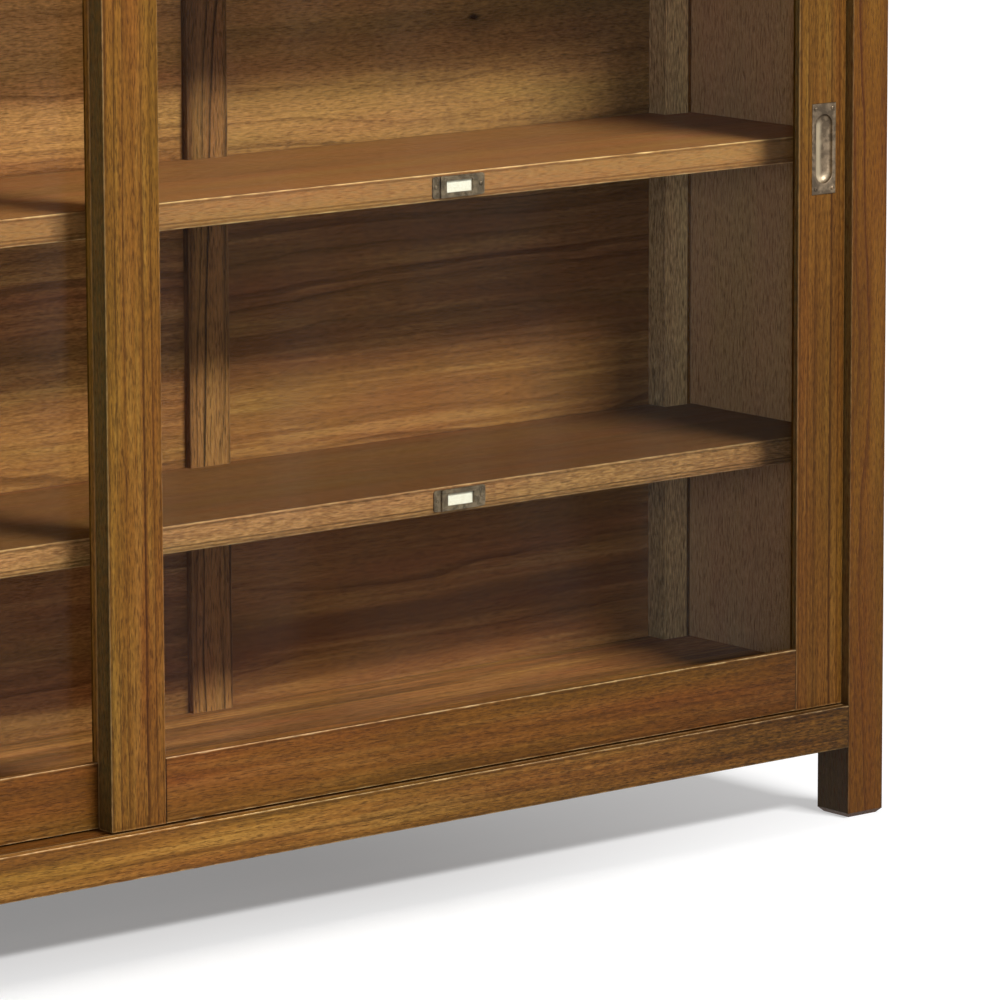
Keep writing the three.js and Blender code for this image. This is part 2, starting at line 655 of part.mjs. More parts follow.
function roller(place) {
  const half = ROLLER_WIDTH / 2;
  const frontHalf = [
    [0, -AXLE_LENGTH / 2],
    [AXLE_DIAMETER / 2, -AXLE_LENGTH / 2],
    [AXLE_DIAMETER / 2, -HUB_WIDTH / 2],
    [HUB_DIAMETER / 2, -HUB_WIDTH / 2],
    [HUB_DIAMETER / 2, -half],
    [ROLLER_RADIUS - ROLLER_RIM_EASE, -half],
    [ROLLER_RADIUS, -half + ROLLER_RIM_EASE],
  ];
  const backHalf = frontHalf.map(([radius, y]) => [radius, -y]).reverse();
  const profile = [...frontHalf, ...backHalf].map(([radius, y]) => new THREE.Vector2(radius, y));
  return onRollerAxis(new THREE.LatheGeometry(profile, ROUND_STEPS), place);
}

const housingBoxes = (place) => ({
  body: {
    x: around(rollerPlaces[place], HOUSING_LENGTH),
    y: around(DOOR_MIDDLE_Y, HOUSING_WIDTH),
    z: [0, SLOT_TOP + HOUSING_ROOF],
  },
  flange: {
    x: around(rollerPlaces[place], HOUSING_LENGTH + 2 * FLANGE_EAR),
    y: around(DOOR_MIDDLE_Y, HOUSING_WIDTH),
    z: [0, FLANGE_THICKNESS],
  },
});

function rollerHousing(place) {
  const { body, flange } = housingBoxes(place);
  const slot = block({
    x: around(rollerPlaces[place], SLOT_LENGTH),
    y: around(DOOR_MIDDLE_Y, SLOT_WIDTH),
    z: [-OVERRUN, SLOT_TOP],
  });
  const boreRadius = AXLE_DIAMETER / 2 + FIT;
  const bore = new THREE.CylinderGeometry(boreRadius, boreRadius, HOUSING_WIDTH + OVERRUN, BORE_STEPS);
  return carve(bar(body, 'z', HOUSING_CORNER_RADIUS), {
    join: [bar(flange, 'z', HOUSING_CORNER_RADIUS)],
    cut: [slot, onRollerAxis(bore, place)],
  });
}

function housingSeats() {
  return Object.keys(rollerPlaces).flatMap((place) => {
    const { body, flange } = housingBoxes(place);
    return [body, flange].map((box) => block(grow({ ...box, z: [-OVERRUN, box.z[1]] }, FIT)));
  });
}

// The pull is on the stile that closes against the post, the outer one
function slidingDoor(side) {
  const door = new THREE.Group();
  const other = { left: 'right', right: 'left' };
  const add = (name, geometry, finish) => door.add(piece(`${side}_door_${name}`, geometry, finish));
  add('outer_stile', doorStile(side, true), finishes.doorWood);
  add('inner_stile', doorStile(other[side], false), finishes.doorWood);
  add('top_rail', doorRail('top', { join: [doorTongue(DOOR_RAIL_X)] }), finishes.doorWood);
  add('bottom_rail', doorRail('bottom', { cut: housingSeats() }), finishes.doorWood);
  add('glass', block(glassBox), finishes.glass);
  add('pull', flushPull(side), finishes.pewter);
  for (const place of Object.keys(rollerPlaces)) {
    const end = place === side ? 'outer' : 'inner';
    add(`roller_${end}`, roller(place), finishes.nylon);
    add(`roller_housing_${end}`, rollerHousing(place), finishes.steel);
  }
  const closedX = OPENING_HALF - DOOR_SIDE_GAP;
  const leftEdge = side === 'right' ? closedX - DOOR_WIDTH : -closedX;
  door.position.set(leftEdge, DOOR_FRONTS[side], DOOR_BOTTOM);
  return door;
}

// The case
function buildCase() {
  const group = new THREE.Group();
  const add = (name, geometry, finish) => group.add(piece(name, geometry, finish));
  for (const [name, side] of Object.entries(SIDES)) {
    add(`post_front_${name}`, cornerPost(side, 'front'), finishes.frameWood);
    add(`post_back_${name}`, cornerPost(side, 'back'), finishes.frameWood);
    add(`side_bottom_rail_${name}`, sideRail(side, BOTTOM_RAIL_Z), finishes.frameWood);
    add(`side_top_rail_${name}`, sideRail(side, TOP_RAIL_Z), finishes.frameWood);
    add(`side_panel_${name}`, sidePanel(side), finishes.panelWood);
    add(`back_stile_${name}`, backStile(side), finishes.frameWood);
  }
  for (const [name, box] of Object.entries(backPanelBoxes)) {
    add(`back_panel_${name}`, block(box), finishes.panelWood);
  }
  add('front_apron', frontRail(FRONT_RAILS.bottom), finishes.frameWood);
  add('front_top_rail', frontRail(FRONT_RAILS.top), finishes.frameWood);
  add('back_bottom_rail', backRail(BOTTOM_RAIL_Z), finishes.frameWood);
  add('back_top_rail', backRail(TOP_RAIL_Z), finishes.frameWood);
  add('bottom_track', bottomTrack(), finishes.frameWood);
  add('top_track', topTrack(), finishes.frameWood);
  add('floor_bearer', floorBearer(), finishes.hiddenWood);
  add('floor_board', bayBoard([RAIL_TOP + FIT, FLOOR_TOP], 0), finishes.shelfWood);
  add('top_board', topBoard(), finishes.shelfWood);
  for (const index of shelves) {
    const level = `${index + 1}`;
    add(`shelf_${level}`, bayBoard(shelfZ(index), SHELF_HOUSING_DEPTH), finishes.shelfWood);
    for (const [name, side] of Object.entries(SIDES)) {
      const centreX = side * (OPENING_HALF - DOOR_SIDE_GAP - DOOR_WIDTH / 2);
      const centreZ = middleOf(shelfZ(index));
      add(`label_holder_${level}_${name}`, labelHolder(centreX, centreZ), finishes.pewter);
      add(`label_card_${level}_${name}`, block(labelCardBox(centreX, centreZ)), finishes.card);
    }
  }
  return group;
}

const bookcase = new THREE.Group();
bookcase.add(buildCase(), slidingDoor('right'), slidingDoor('left'));
bookcase.position.y = TOP_OVERHANG - OVERALL_DEPTH / 2;

export default bookcase;
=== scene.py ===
# %% [markdown]
# # A glazed bookcase, dressed for its portrait
# The bookcase comes in as a finished model: every board, door and roller already has its true
# size and place. This lesson leaves all of that alone and makes it look real: a camera, plain
# studio light, stained wood that shows its grain, glass, aged pewter, paper, steel and nylon.
# The small fittings that are worth a closer look, the finger pulls and the screws, are modelled
# here by hand. All lengths are in metres.

# %% The model
import json
import math

import bmesh
import bpy
from mathutils import Matrix, Vector

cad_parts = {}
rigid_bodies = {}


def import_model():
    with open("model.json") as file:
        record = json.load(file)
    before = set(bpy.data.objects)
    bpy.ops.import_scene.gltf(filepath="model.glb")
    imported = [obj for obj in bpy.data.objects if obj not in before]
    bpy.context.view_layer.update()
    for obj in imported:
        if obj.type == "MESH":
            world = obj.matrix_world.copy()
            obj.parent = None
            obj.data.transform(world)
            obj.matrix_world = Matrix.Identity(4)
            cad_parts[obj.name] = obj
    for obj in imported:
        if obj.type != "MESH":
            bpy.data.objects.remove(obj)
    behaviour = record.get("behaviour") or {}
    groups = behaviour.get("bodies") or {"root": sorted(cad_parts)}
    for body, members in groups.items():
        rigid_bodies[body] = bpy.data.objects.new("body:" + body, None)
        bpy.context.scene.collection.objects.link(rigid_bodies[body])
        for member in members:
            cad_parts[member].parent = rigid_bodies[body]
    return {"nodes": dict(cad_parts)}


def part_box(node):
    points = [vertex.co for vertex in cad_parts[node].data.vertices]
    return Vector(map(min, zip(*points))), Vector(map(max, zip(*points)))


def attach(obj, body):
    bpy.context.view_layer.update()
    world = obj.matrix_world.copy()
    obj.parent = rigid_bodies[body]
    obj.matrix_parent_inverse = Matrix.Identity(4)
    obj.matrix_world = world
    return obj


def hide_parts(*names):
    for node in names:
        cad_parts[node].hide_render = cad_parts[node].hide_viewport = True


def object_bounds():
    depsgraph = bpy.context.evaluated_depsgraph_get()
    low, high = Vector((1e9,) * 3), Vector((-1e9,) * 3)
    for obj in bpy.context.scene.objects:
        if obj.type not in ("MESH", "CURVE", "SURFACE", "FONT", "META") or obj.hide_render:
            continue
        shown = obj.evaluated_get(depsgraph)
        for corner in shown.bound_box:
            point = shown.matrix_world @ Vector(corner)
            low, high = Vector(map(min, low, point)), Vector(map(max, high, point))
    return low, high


for leftover in list(bpy.data.objects):
    bpy.data.objects.remove(leftover)
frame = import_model()
nodes = frame["nodes"]
model_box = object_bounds()
print("nodes:", len(nodes), "box:", [tuple(round(v, 3) for v in corner) for corner in model_box])

# %% [markdown]
# ## Camera
# The picture was taken with a long lens from the left and a little above, so that upright edges
# stay nearly parallel. The place and the direction were found from the corners of the case. A
# camera looks along its own minus Z, with its own Y up, so the three directions fill its matrix.

# %% Camera
CAMERA_PLACE = Vector((-3.6834, -5.1854, 1.5585))
CAMERA_FORWARD = Vector((0.62606, 0.75987, -0.17509))
CAMERA_UP = Vector((0.11311, 0.13366, 0.98455))
LENS_MM = 234.08
SENSOR_MM = 36.0


def facing(place, forward, up=Vector((0, 0, 1))):
    """A matrix at place that looks along forward."""
    ahead = forward.normalized()
    right = ahead.cross(up).normalized()
    columns = Matrix((right, right.cross(ahead), -ahead)).transposed()
    return Matrix.Translation(place) @ columns.to_4x4()


camera = bpy.data.objects.new("camera", bpy.data.cameras.new("camera"))
camera.data.lens = LENS_MM
camera.data.sensor_width = SENSOR_MM
camera.data.clip_end = 200
camera.matrix_world = facing(CAMERA_PLACE, CAMERA_FORWARD, CAMERA_UP)
bpy.context.scene.collection.objects.link(camera)
bpy.context.scene.camera = camera
bpy.context.scene.view_settings.view_transform = "Standard"
print("camera at", tuple(round(v, 2) for v in CAMERA_PLACE), "with a lens of", LENS_MM, "mm")

# %% [markdown]
# ## Node helpers
# A shader is a tree of nodes, and typing out every node and link hides what a finish is made of.
# These helpers each add one node, set its inputs, and hand back what comes out of it, so that a
# finish reads like a recipe. An input is either a number or something that another node made.


# %% Node helpers
def node(tree, kind, inputs=None, **settings):
    made = tree.nodes.new("ShaderNode" + kind)
    for name, value in settings.items():
        setattr(made, name, value)
    for key, value in (inputs or {}).items():
        if isinstance(value, bpy.types.NodeSocket):
            tree.links.new(value, made.inputs[key])
        else:
            made.inputs[key].default_value = value
    return made


def calc(tree, operation, *values, clamp=False):
    inputs = dict(enumerate(values))
    return node(tree, "Math", inputs, operation=operation, use_clamp=clamp).outputs[0]


def times(tree, first, second):
    return calc(tree, "MULTIPLY", first, second)


def vector(tree, operation, *values):
    return node(tree, "VectorMath", dict(enumerate(values)), operation=operation).outputs[0]


def step(tree, value, start, end):
    """0 up to start, 1 from end on, smooth between; start may be the larger one."""
    inputs = {"Value": value, "From Min": start, "From Max": end}
    return node(tree, "MapRange", inputs, interpolation_type="SMOOTHSTEP").outputs[0]


def blend(tree, amount, first, second):
    made = node(tree, "Mix", {0: amount, 6: first, 7: second}, data_type="RGBA")
    return made.outputs[2]


def noise(tree, place, scale, detail=2.0, output="Fac"):
    """Noise that changes scale times per metre; three scales stretch its grain."""
    ways = scale if isinstance(scale, tuple) else (scale, scale, scale)
    stretched = vector(tree, "MULTIPLY", place, ways)
    made = node(tree, "TexNoise", {"Vector": stretched, "Scale": 1.0, "Detail": detail})
    return made.outputs[output]


def colour(hex_code):
    """A screen colour such as #8a5a2b as the linear values that nodes use."""
    parts = [int(hex_code[i : i + 2], 16) / 255 for i in (1, 3, 5)]
    linear = [c / 12.92 if c <= 0.04045 else ((c + 0.055) / 1.055) ** 2.4 for c in parts]
    return (*linear, 1.0)


def new_material(name):
    material = bpy.data.materials.new(name)
    material.use_nodes = True
    material.node_tree.nodes.clear()
    return material, material.node_tree


def finish_surface(tree, shader):
    node(tree, "OutputMaterial", {"Surface": shader})


print("helpers ready")

# %% [markdown]
# ## Light and stage
# The key lamp stands in front of the case, to the right and high up. It is wide but low: uprights
# throw soft shadows, while each shelf throws one with a clear lower edge down the back panel, and
# everything that faces left stays dark. A faint lamp from the left reaches through the glass to the
# inside of the right end, and the world adds a little light from all round. The background is white
# only for rays that come from the camera, a reflection or a view through glass, so it adds no light
# to the wood.

# %% World and lamps
AMBIENT = 0.07
WORLD_WHITE = (1.0, 1.0, 1.0, 1.0)
KEY_TARGET = Vector((0.5, -0.1, 0.6))
KEY_PLACE = Vector((1.8, -6.1, 5.45))
KEY_SIZE = (3.2, 0.9)
KEY_WATTS = 775.0
FILL_PLACE = Vector((-3.7, -4.2, 1.5))
FILL_SIZE = (2.0, 1.6)
FILL_WATTS = 62.0


def seen_directly(tree):
    """1 for rays from the camera, off glossy surfaces and through glass."""
    path = node(tree, "LightPath")
    seen = calc(tree, "MAXIMUM", path.outputs["Is Camera Ray"], path.outputs["Is Glossy Ray"])
    return calc(tree, "MAXIMUM", seen, path.outputs["Is Transmission Ray"])


world = bpy.data.worlds.new("studio")
bpy.context.scene.world = world
world.use_nodes = True
sky = world.node_tree
sky.nodes.clear()
light_all_round = node(sky, "Background", {"Color": WORLD_WHITE, "Strength": AMBIENT})
white_backdrop = node(sky, "Background", {"Color": WORLD_WHITE, "Strength": 1.0})
both = {0: seen_directly(sky), 1: light_all_round.outputs[0], 2: white_backdrop.outputs[0]}
node(sky, "OutputWorld", {"Surface": node(sky, "MixShader", both).outputs[0]})


def area_lamp(name, place, target, size, watts):
    data = bpy.data.lights.new(name, "AREA")
    data.shape = "RECTANGLE"
    data.size, data.size_y = size
    data.energy = watts
    lamp = bpy.data.objects.new(name, data)
    lamp.matrix_world = facing(place, target - place)
    bpy.context.scene.collection.objects.link(lamp)


area_lamp("key_lamp", KEY_PLACE, KEY_TARGET, KEY_SIZE, KEY_WATTS)
area_lamp("fill_lamp", FILL_PLACE, KEY_TARGET, FILL_SIZE, FILL_WATTS)
print("key lamp is", round((KEY_PLACE - KEY_TARGET).length, 2), "m away")

# %% [markdown]
# The floor is one wide plane. Photographs of furniture often show it as plain white with a faint
# shadow, so the camera sees it lit and lifted a little, while the light that bounces off it stays
# that of an ordinary pale floor. Close to the case it gets painted shade, darker as where little
# light gets under the rails, and a painted light lifts it more to the right, so the shadow is paler
# there.

# %% Floor
FLOOR_SIZE = 60.0
FLOOR_GREY = 0.42
FLOOR_SEEN = 0.8
FLOOR_LIFT = 0.245
PAINTED_LIGHT_RIGHT = 0.24
RIGHT_REACH = (0.3, 1.1)
FLOOR_FADE = (1.1, 2.8)
PAINTED_FLOOR_SHADE = 0.42
CONTACT_REACH = (0.24, -0.21)

bpy.ops.mesh.primitive_plane_add(size=FLOOR_SIZE, location=(0, 0, 0))
floor = bpy.context.object
floor.name = "studio_floor"
floor_material, tree = new_material("pale floor")
bouncing = node(tree, "BsdfDiffuse", {"Color": (FLOOR_GREY, FLOOR_GREY, FLOOR_GREY, 1)})
spot = node(tree, "TexCoord").outputs["Object"]
away = node(tree, "VectorMath", {0: spot}, operation="LENGTH").outputs["Value"]
spot_x, spot_y = node(tree, "SeparateXYZ", {0: spot}).outputs[:2]
beyond_x = calc(tree, "SUBTRACT", calc(tree, "ABSOLUTE", spot_x), model_box[1][0])
beyond_y = calc(tree, "SUBTRACT", calc(tree, "ABSOLUTE", spot_y), model_box[1][1])
# painted shade: the floor is seen darker close to the case
shade_nearness = step(tree, calc(tree, "MAXIMUM", beyond_x, beyond_y), *CONTACT_REACH)
seen_grey = calc(tree, "MULTIPLY_ADD", shade_nearness, -PAINTED_FLOOR_SHADE * FLOOR_SEEN, FLOOR_SEEN)
lit = node(tree, "BsdfDiffuse", {"Color": seen_grey})
# painted light: the floor is lifted more towards the right
lift_and_painted_light = calc(tree, "MULTIPLY_ADD", step(tree, spot_x, *RIGHT_REACH), PAINTED_LIGHT_RIGHT, FLOOR_LIFT)
strength = calc(tree, "MAXIMUM", step(tree, away, *FLOOR_FADE), lift_and_painted_light)
lift = node(tree, "Emission", {"Color": WORLD_WHITE, "Strength": strength})
shown = node(tree, "AddShader", {0: lit.outputs[0], 1: lift.outputs[0]})
choice = {0: seen_directly(tree), 1: bouncing.outputs[0], 2: shown.outputs[0]}
mixed = node(tree, "MixShader", choice)
plain_white = node(tree, "Emission", {"Color": WORLD_WHITE, "Strength": 1.0})
mirrored = node(tree, "LightPath").outputs["Is Glossy Ray"]
choice = {0: mirrored, 1: mixed.outputs[0], 2: plain_white.outputs[0]}
finish_surface(tree, node(tree, "MixShader", choice).outputs[0])
floor.data.materials.append(floor_material)
print("floor of", FLOOR_SIZE, "m")

# %% [markdown]
# ## Wood
# A board is cut from a log, so its grain is a solid pattern: rings round a pith that lies somewhere
# beside the board. Where a face cuts the rings edge on, it shows straight lines, and where it lies
# along them it shows long arches. Painting lines on each face would break at the corners, so the
# rings are worked out in three dimensions from the place of each point, and every face agrees.
# The group takes that place as (along the grain, across it, through it). Its other inputs are:
#
# - Centre, Half: the middle and the half size of the board
# - Seed, Stave: a number of the board's own, and the width of the staves it is glued up from
# - Pith, Gap, Wave, Rings: where the pith lies, how far apart the rings are, how far they wander
#   and how dark they are; Sap is how far from the pith the pale sapwood starts
# - Streaks, Pores, Stains, Knots: how much there is of each
# - Wear, Joints: how far the arrises are worn pale, which also paints their highlight, and how dark
#   the joints at a rail's ends are
# - Lip, Edging, Fleck: how deep a strip on the low side is, its colour, and how much of the
#   board's own colour shows through it; on narrow faces that colour is painted light and shade.
#   Seam is a dark line along it, Foot the height under which it gets painted shade, and Side
#   how much painted shade darkens the outermost face on that side
# - Fade, Ends: how the brightness changes in each direction, and how much it drops to both ends

# %% The wood group
WOOD_INPUTS = {
    "Vector": ("Place", "Centre", "Half", "Seed", "Pith", "Fade"),
    "Float": (
        "Stave", "Gap", "Wave", "Rings", "Sap", "Streaks", "Pores", "Stains", "Knots",
        "Wear", "Joints", "Lip", "Fleck", "Seam", "Foot", "Side", "Ends", "Rough",
    ),
    "Color": ("Dark", "Base", "Light", "Worn", "Edging"),
}
WOOD_OUTPUTS = {"Colour": "Color", "Roughness": "Float", "Height": "Float"}

wood = bpy.data.node_groups.new("stained board", "ShaderNodeTree")
for kind, names in WOOD_INPUTS.items():
    for name in names:
        wood.interface.new_socket(name, in_out="INPUT", socket_type="NodeSocket" + kind)
for name, kind in WOOD_OUTPUTS.items():
    wood.interface.new_socket(name, in_out="OUTPUT", socket_type="NodeSocket" + kind)
wood_in = wood.nodes.new("NodeGroupInput").outputs
print("wood inputs:", sum(len(names) for names in WOOD_INPUTS.values()))

# %% [markdown]
# Wide boards are glued up from narrower staves. The number of the stave a point lies in feeds a
# random number, which shifts the whole pattern, so that neighbours don't match. The distance to the
# nearest arris is the middle one of the distances to the board's faces. A joint pushes the end face
# out of that choice, because a rail has no arris where it meets a post.

# %% Staves and distances
STAVE_SHIFT = (9.0, 7.0, 5.0)
ROUNDING = 0.001

inside = vector(wood, "SUBTRACT", wood_in["Place"], wood_in["Centre"])
depth = vector(wood, "SUBTRACT", wood_in["Half"], vector(wood, "ABSOLUTE", inside))
depths = node(wood, "SeparateXYZ", {0: depth}).outputs
from_end = calc(wood, "ADD", depths[0], wood_in["Joints"])
low_pair = calc(wood, "MINIMUM", from_end, depths[1])
high_pair = calc(wood, "MAXIMUM", from_end, depths[1])
from_arris = calc(wood, "MAXIMUM", low_pair, calc(wood, "MINIMUM", high_pair, depths[2]))

across = node(wood, "SeparateXYZ", {0: vector(wood, "ADD", inside, wood_in["Half"])}).outputs
stave_count = calc(wood, "DIVIDE", across[1], wood_in["Stave"])
stave_number = calc(wood, "FLOOR", calc(wood, "ADD", stave_count, ROUNDING))
seed_parts = node(wood, "SeparateXYZ", {0: wood_in["Seed"]}).outputs
stave_seed = calc(wood, "ADD", stave_number, seed_parts[0])
stave_random = node(wood, "TexWhiteNoise", {"W": stave_seed}, noise_dimensions="1D").outputs
stave_shift = vector(wood, "MULTIPLY", stave_random["Color"], STAVE_SHIFT)
place = vector(wood, "ADD", vector(wood, "ADD", inside, wood_in["Seed"]), stave_shift)
print("staves and arris distance")

# %% [markdown]
# A knot is where a branch left the log. Random points spread over the board stand for branches,
# most of them switched off. Rings swerve round each knot, and its core is nearly black.

# %% Knots
KNOT_CELLS = 6.0
KNOT_STRETCH = 0.6
KNOT_SHAKE = (0.09, 0.09, 0.0)
KNOT_SHAKE_SCALE = (25.0, 60.0, 60.0)
KNOT_REACH = 0.030
KNOT_CORE = (0.0065, 0.0015)

squeezed = vector(wood, "MULTIPLY", place, (KNOT_CELLS * KNOT_STRETCH, KNOT_CELLS, 0.0))
shaken = noise(wood, place, KNOT_SHAKE_SCALE, 1.0, "Color")
squeezed = vector(wood, "ADD", squeezed, vector(wood, "MULTIPLY", shaken, KNOT_SHAKE))
spread = {"Vector": squeezed, "Scale": 1.0}
knot_cells = node(wood, "TexVoronoi", spread, voronoi_dimensions="2D").outputs
knot_luck = node(wood, "SeparateColor", {0: knot_cells["Color"]}).outputs[0]
has_knot = calc(wood, "LESS_THAN", knot_luck, wood_in["Knots"])
knot_distance = calc(wood, "DIVIDE", knot_cells["Distance"], KNOT_CELLS)
knot_core = times(wood, step(wood, knot_distance, *KNOT_CORE), has_knot)
knot_ring = times(wood, step(wood, knot_distance, KNOT_REACH, 0.0), has_knot)
print("knots reach", KNOT_REACH, "m")

# %% [markdown]
# The distance from the pith, bent by slow noise and a little by quick noise, counts off the years.
# Their width wanders too.

# %% Years
SLOW_WAVES = (1.1, 4.5, 4.5)
QUICK_WAVES = (8.0, 30.0, 30.0)
QUICK_SHARE = 0.09
KNOT_SWERVE = 0.016
WANDER_SCALE = 34.0
WANDER_YEARS = 1.7


def waves(scale, reach):
    """A push that swings both ways, up to half of reach."""
    wavy = noise(wood, place, scale, 1.0, "Color")
    centred = vector(wood, "SUBTRACT", wavy, (0.5, 0.5, 0.5))
    return node(wood, "VectorMath", {0: centred, "Scale": reach}, operation="SCALE").outputs[0]


slow = waves(SLOW_WAVES, wood_in["Wave"])
quick = waves(QUICK_WAVES, times(wood, wood_in["Wave"], QUICK_SHARE))
bent = vector(wood, "ADD", vector(wood, "ADD", inside, slow), quick)
from_pith = node(wood, "SeparateXYZ", {0: vector(wood, "SUBTRACT", bent, wood_in["Pith"])}).outputs
squares = [times(wood, from_pith[i], from_pith[i]) for i in (1, 2)]
radius = calc(wood, "SQRT", calc(wood, "ADD", *squares))
radius = calc(wood, "ADD", radius, times(wood, knot_ring, KNOT_SWERVE))
wandering = {"W": radius, "Scale": WANDER_SCALE, "Detail": 0.0}
wander = node(wood, "TexNoise", wandering, noise_dimensions="1D").outputs[0]
years = calc(wood, "DIVIDE", radius, wood_in["Gap"])
years = calc(wood, "ADD", years, times(wood, wander, WANDER_YEARS))
print("years")

# %% [markdown]
# Each year fades from pale early wood to a dark late line and starts again. Some years are darker
# than others, and each line is darker in some places than in others. Beyond a given distance from
# the pith the wood is pale sapwood.

# %% Late wood and sapwood
LATE_START = (0.45, 0.94)
LATE_END = (1.0, 0.95)
LATE_POWER = 2.6
YEAR_RANGE = (0.7, 0.3)
PATCH_SCALE = (3.0, 30.0, 30.0)
PATCH_CUT = (0.3, 0.6)
PATCH_RANGE = (0.6, 0.4)
SAP_FADE = 1.17

season = calc(wood, "FRACT", years)
year = calc(wood, "FLOOR", years)
year_random = node(wood, "TexWhiteNoise", {"W": year}, noise_dimensions="1D").outputs["Value"]
late = calc(wood, "POWER", step(wood, season, *LATE_START), LATE_POWER)
late = times(wood, late, step(wood, season, *LATE_END))
late = times(wood, late, calc(wood, "MULTIPLY_ADD", year_random, *YEAR_RANGE))
patchy = step(wood, noise(wood, place, PATCH_SCALE, 1.0), *PATCH_CUT)
late = times(wood, late, calc(wood, "MULTIPLY_ADD", patchy, *PATCH_RANGE))
sap_end = times(wood, wood_in["Sap"], SAP_FADE)
sapwood = step(wood, radius, wood_in["Sap"], sap_end)
print("late wood and sapwood")

# %% [markdown]
# Between the rings the wood is made of fibres and vessels. Noise stretched along the grain gives
# pale and dark streaks, and a finer one, cut off hard, gives the short dark dashes of open pores.

# %% Fibres, pores and stains
FINE_SCALE = (5.0, 210.0, 210.0)
BROAD_SCALE = (1.7, 42.0, 42.0)
FINE_SHARE = 0.55
BROAD_SHARE = 0.45
PALE_CUT = (0.48, 0.64)
SHADY_CUT = (0.5, 0.36)
PORE_SCALE = (75.0, 900.0, 900.0)
PORE_CUT = (0.54, 0.66)
SPECKLE_SCALE = (150.0, 500.0, 500.0)
BLOTCH_SCALE = (2.4, 8.0, 8.0)
BLOTCH_CUT = (0.45, 0.75)

fine = noise(wood, place, FINE_SCALE, 3.0)
broad = times(wood, noise(wood, place, BROAD_SCALE), BROAD_SHARE)
fibre = calc(wood, "ADD", times(wood, fine, FINE_SHARE), broad)
pale = times(wood, step(wood, fibre, *PALE_CUT), wood_in["Streaks"])
shady = times(wood, step(wood, fibre, *SHADY_CUT), wood_in["Streaks"])
pore = step(wood, noise(wood, place, PORE_SCALE, 1.0), *PORE_CUT)
pore = times(wood, pore, wood_in["Pores"])
speckle = noise(wood, place, SPECKLE_SCALE, 1.0)
blotch = step(wood, noise(wood, place, BLOTCH_SCALE), *BLOTCH_CUT)
blotch = times(wood, blotch, wood_in["Stains"])
print("fibres")

# %% [markdown]
# Hands and cloths wear the stain off the sharp arrises, and it gathers beside them. The pale worn
# line also stands in for the highlight on a rounded arris, a painted highlight, and the dark line
# beside it for its painted shade. Dark wax stays in the joint at each end of a rail, so the last
# two millimetres there are darker, and the rail darkens a little towards its shoulder.

# %% Arrises and joints
FRAY_SCALE = (45.0, 200.0, 200.0)
FRAY_DEPTH = 0.0022
RUBBED_AND_HIGHLIT = (0.0026, 0.0012)
GATHER_START = (0.0024, 0.0034)
GATHER_END = (0.0062, 0.0038)
GATHER_SHARE = 0.55
JOINT_LINE = (0.002, 0.0002)
SHOULDER_REACH = (0.06, 0.0)
SHOULDER_SHARE = 0.15

frayed = times(wood, noise(wood, place, FRAY_SCALE), FRAY_DEPTH)
ragged = calc(wood, "ADD", from_arris, frayed)
# the pale arris line is wear and also a painted highlight
rubbed_and_highlit = times(wood, step(wood, ragged, *RUBBED_AND_HIGHLIT), wood_in["Wear"])
# the dark line beside the arris is gathered stain and also painted shade
beside = times(wood, step(wood, ragged, *GATHER_START), step(wood, ragged, *GATHER_END))
gathered_and_shaded = times(wood, beside, times(wood, wood_in["Wear"], GATHER_SHARE))
joint = times(wood, step(wood, depths[0], *JOINT_LINE), wood_in["Joints"])
shoulder = times(wood, step(wood, depths[0], *SHOULDER_REACH), wood_in["Joints"])
shoulder = times(wood, shoulder, SHOULDER_SHARE)
print("arrises and joints")

# %% [markdown]
# The front of a shelf is lipping that took the stain differently, so it has a colour of its own. On
# the narrow sides of posts and stiles and on the inner faces of the ends, the strip's colour is
# painted light and shade instead. The strip is flecked with the board's colour, can have a thin
# dark seam along it, and gets painted shade at the foot of a post. The outermost side face also
# gets painted shade.

# %% Edge strips
FLECK_SCALE = (80.0, 600.0, 600.0)
FLECK_CUT = (0.4, 0.62)
FOOT_FADE = (0.015, -0.015)
FOOT_SHADE_VALUE = 0.32
LIP_FADE = (0.0002, -0.0002)
LIP_COVER = 0.85
SEAM_HEIGHT = 0.0062
SEAM_WIDTH = (0.0013, 0.0004)
SIDE_SKIN = (0.001, 0.0004)

fleck = step(wood, noise(wood, place, FLECK_SCALE), *FLECK_CUT)
showing = times(wood, calc(wood, "SUBTRACT", 1.0, fleck), wood_in["Fleck"])
# on narrow faces the strip colour is painted light and shade; on a shelf front it is the lipping
edging_and_shade = blend(wood, showing, wood_in["Edging"], wood_in["Base"])
above_foot = calc(wood, "SUBTRACT", across[0], wood_in["Foot"])
# painted shade at the foot of a post
foot_shade_colour = node(wood, "HueSaturation", {"Value": FOOT_SHADE_VALUE, "Color": wood_in["Edging"]}).outputs[0]
edging_and_shade = blend(wood, step(wood, above_foot, *FOOT_FADE), edging_and_shade, foot_shade_colour)
from_front = calc(wood, "SUBTRACT", across[1], wood_in["Lip"])
lipped = times(wood, step(wood, from_front, *LIP_FADE), LIP_COVER)
from_seam = calc(wood, "ABSOLUTE", calc(wood, "SUBTRACT", across[2], SEAM_HEIGHT))
seam = times(wood, step(wood, from_seam, *SEAM_WIDTH), wood_in["Seam"])
# painted shade on the outermost side face
side_face_shade = times(wood, step(wood, across[1], *SIDE_SKIN), wood_in["Side"])
print("edge strips")

# %% [markdown]
# The colour is built up in coats, as a finisher would: pale streaks on the base, then everything
# dark, the edge strip with its painted light and shade over it, the nearly black marks, and last
# the worn arrises with their painted highlight. Each coat is an amount and the colour that it leads
# to.

# %% Coats of colour
SHADY_SHARE = 0.6
BLOTCH_SHARE = 0.7
KNOT_SHARE = 0.35
DEEP_VALUE = 0.6

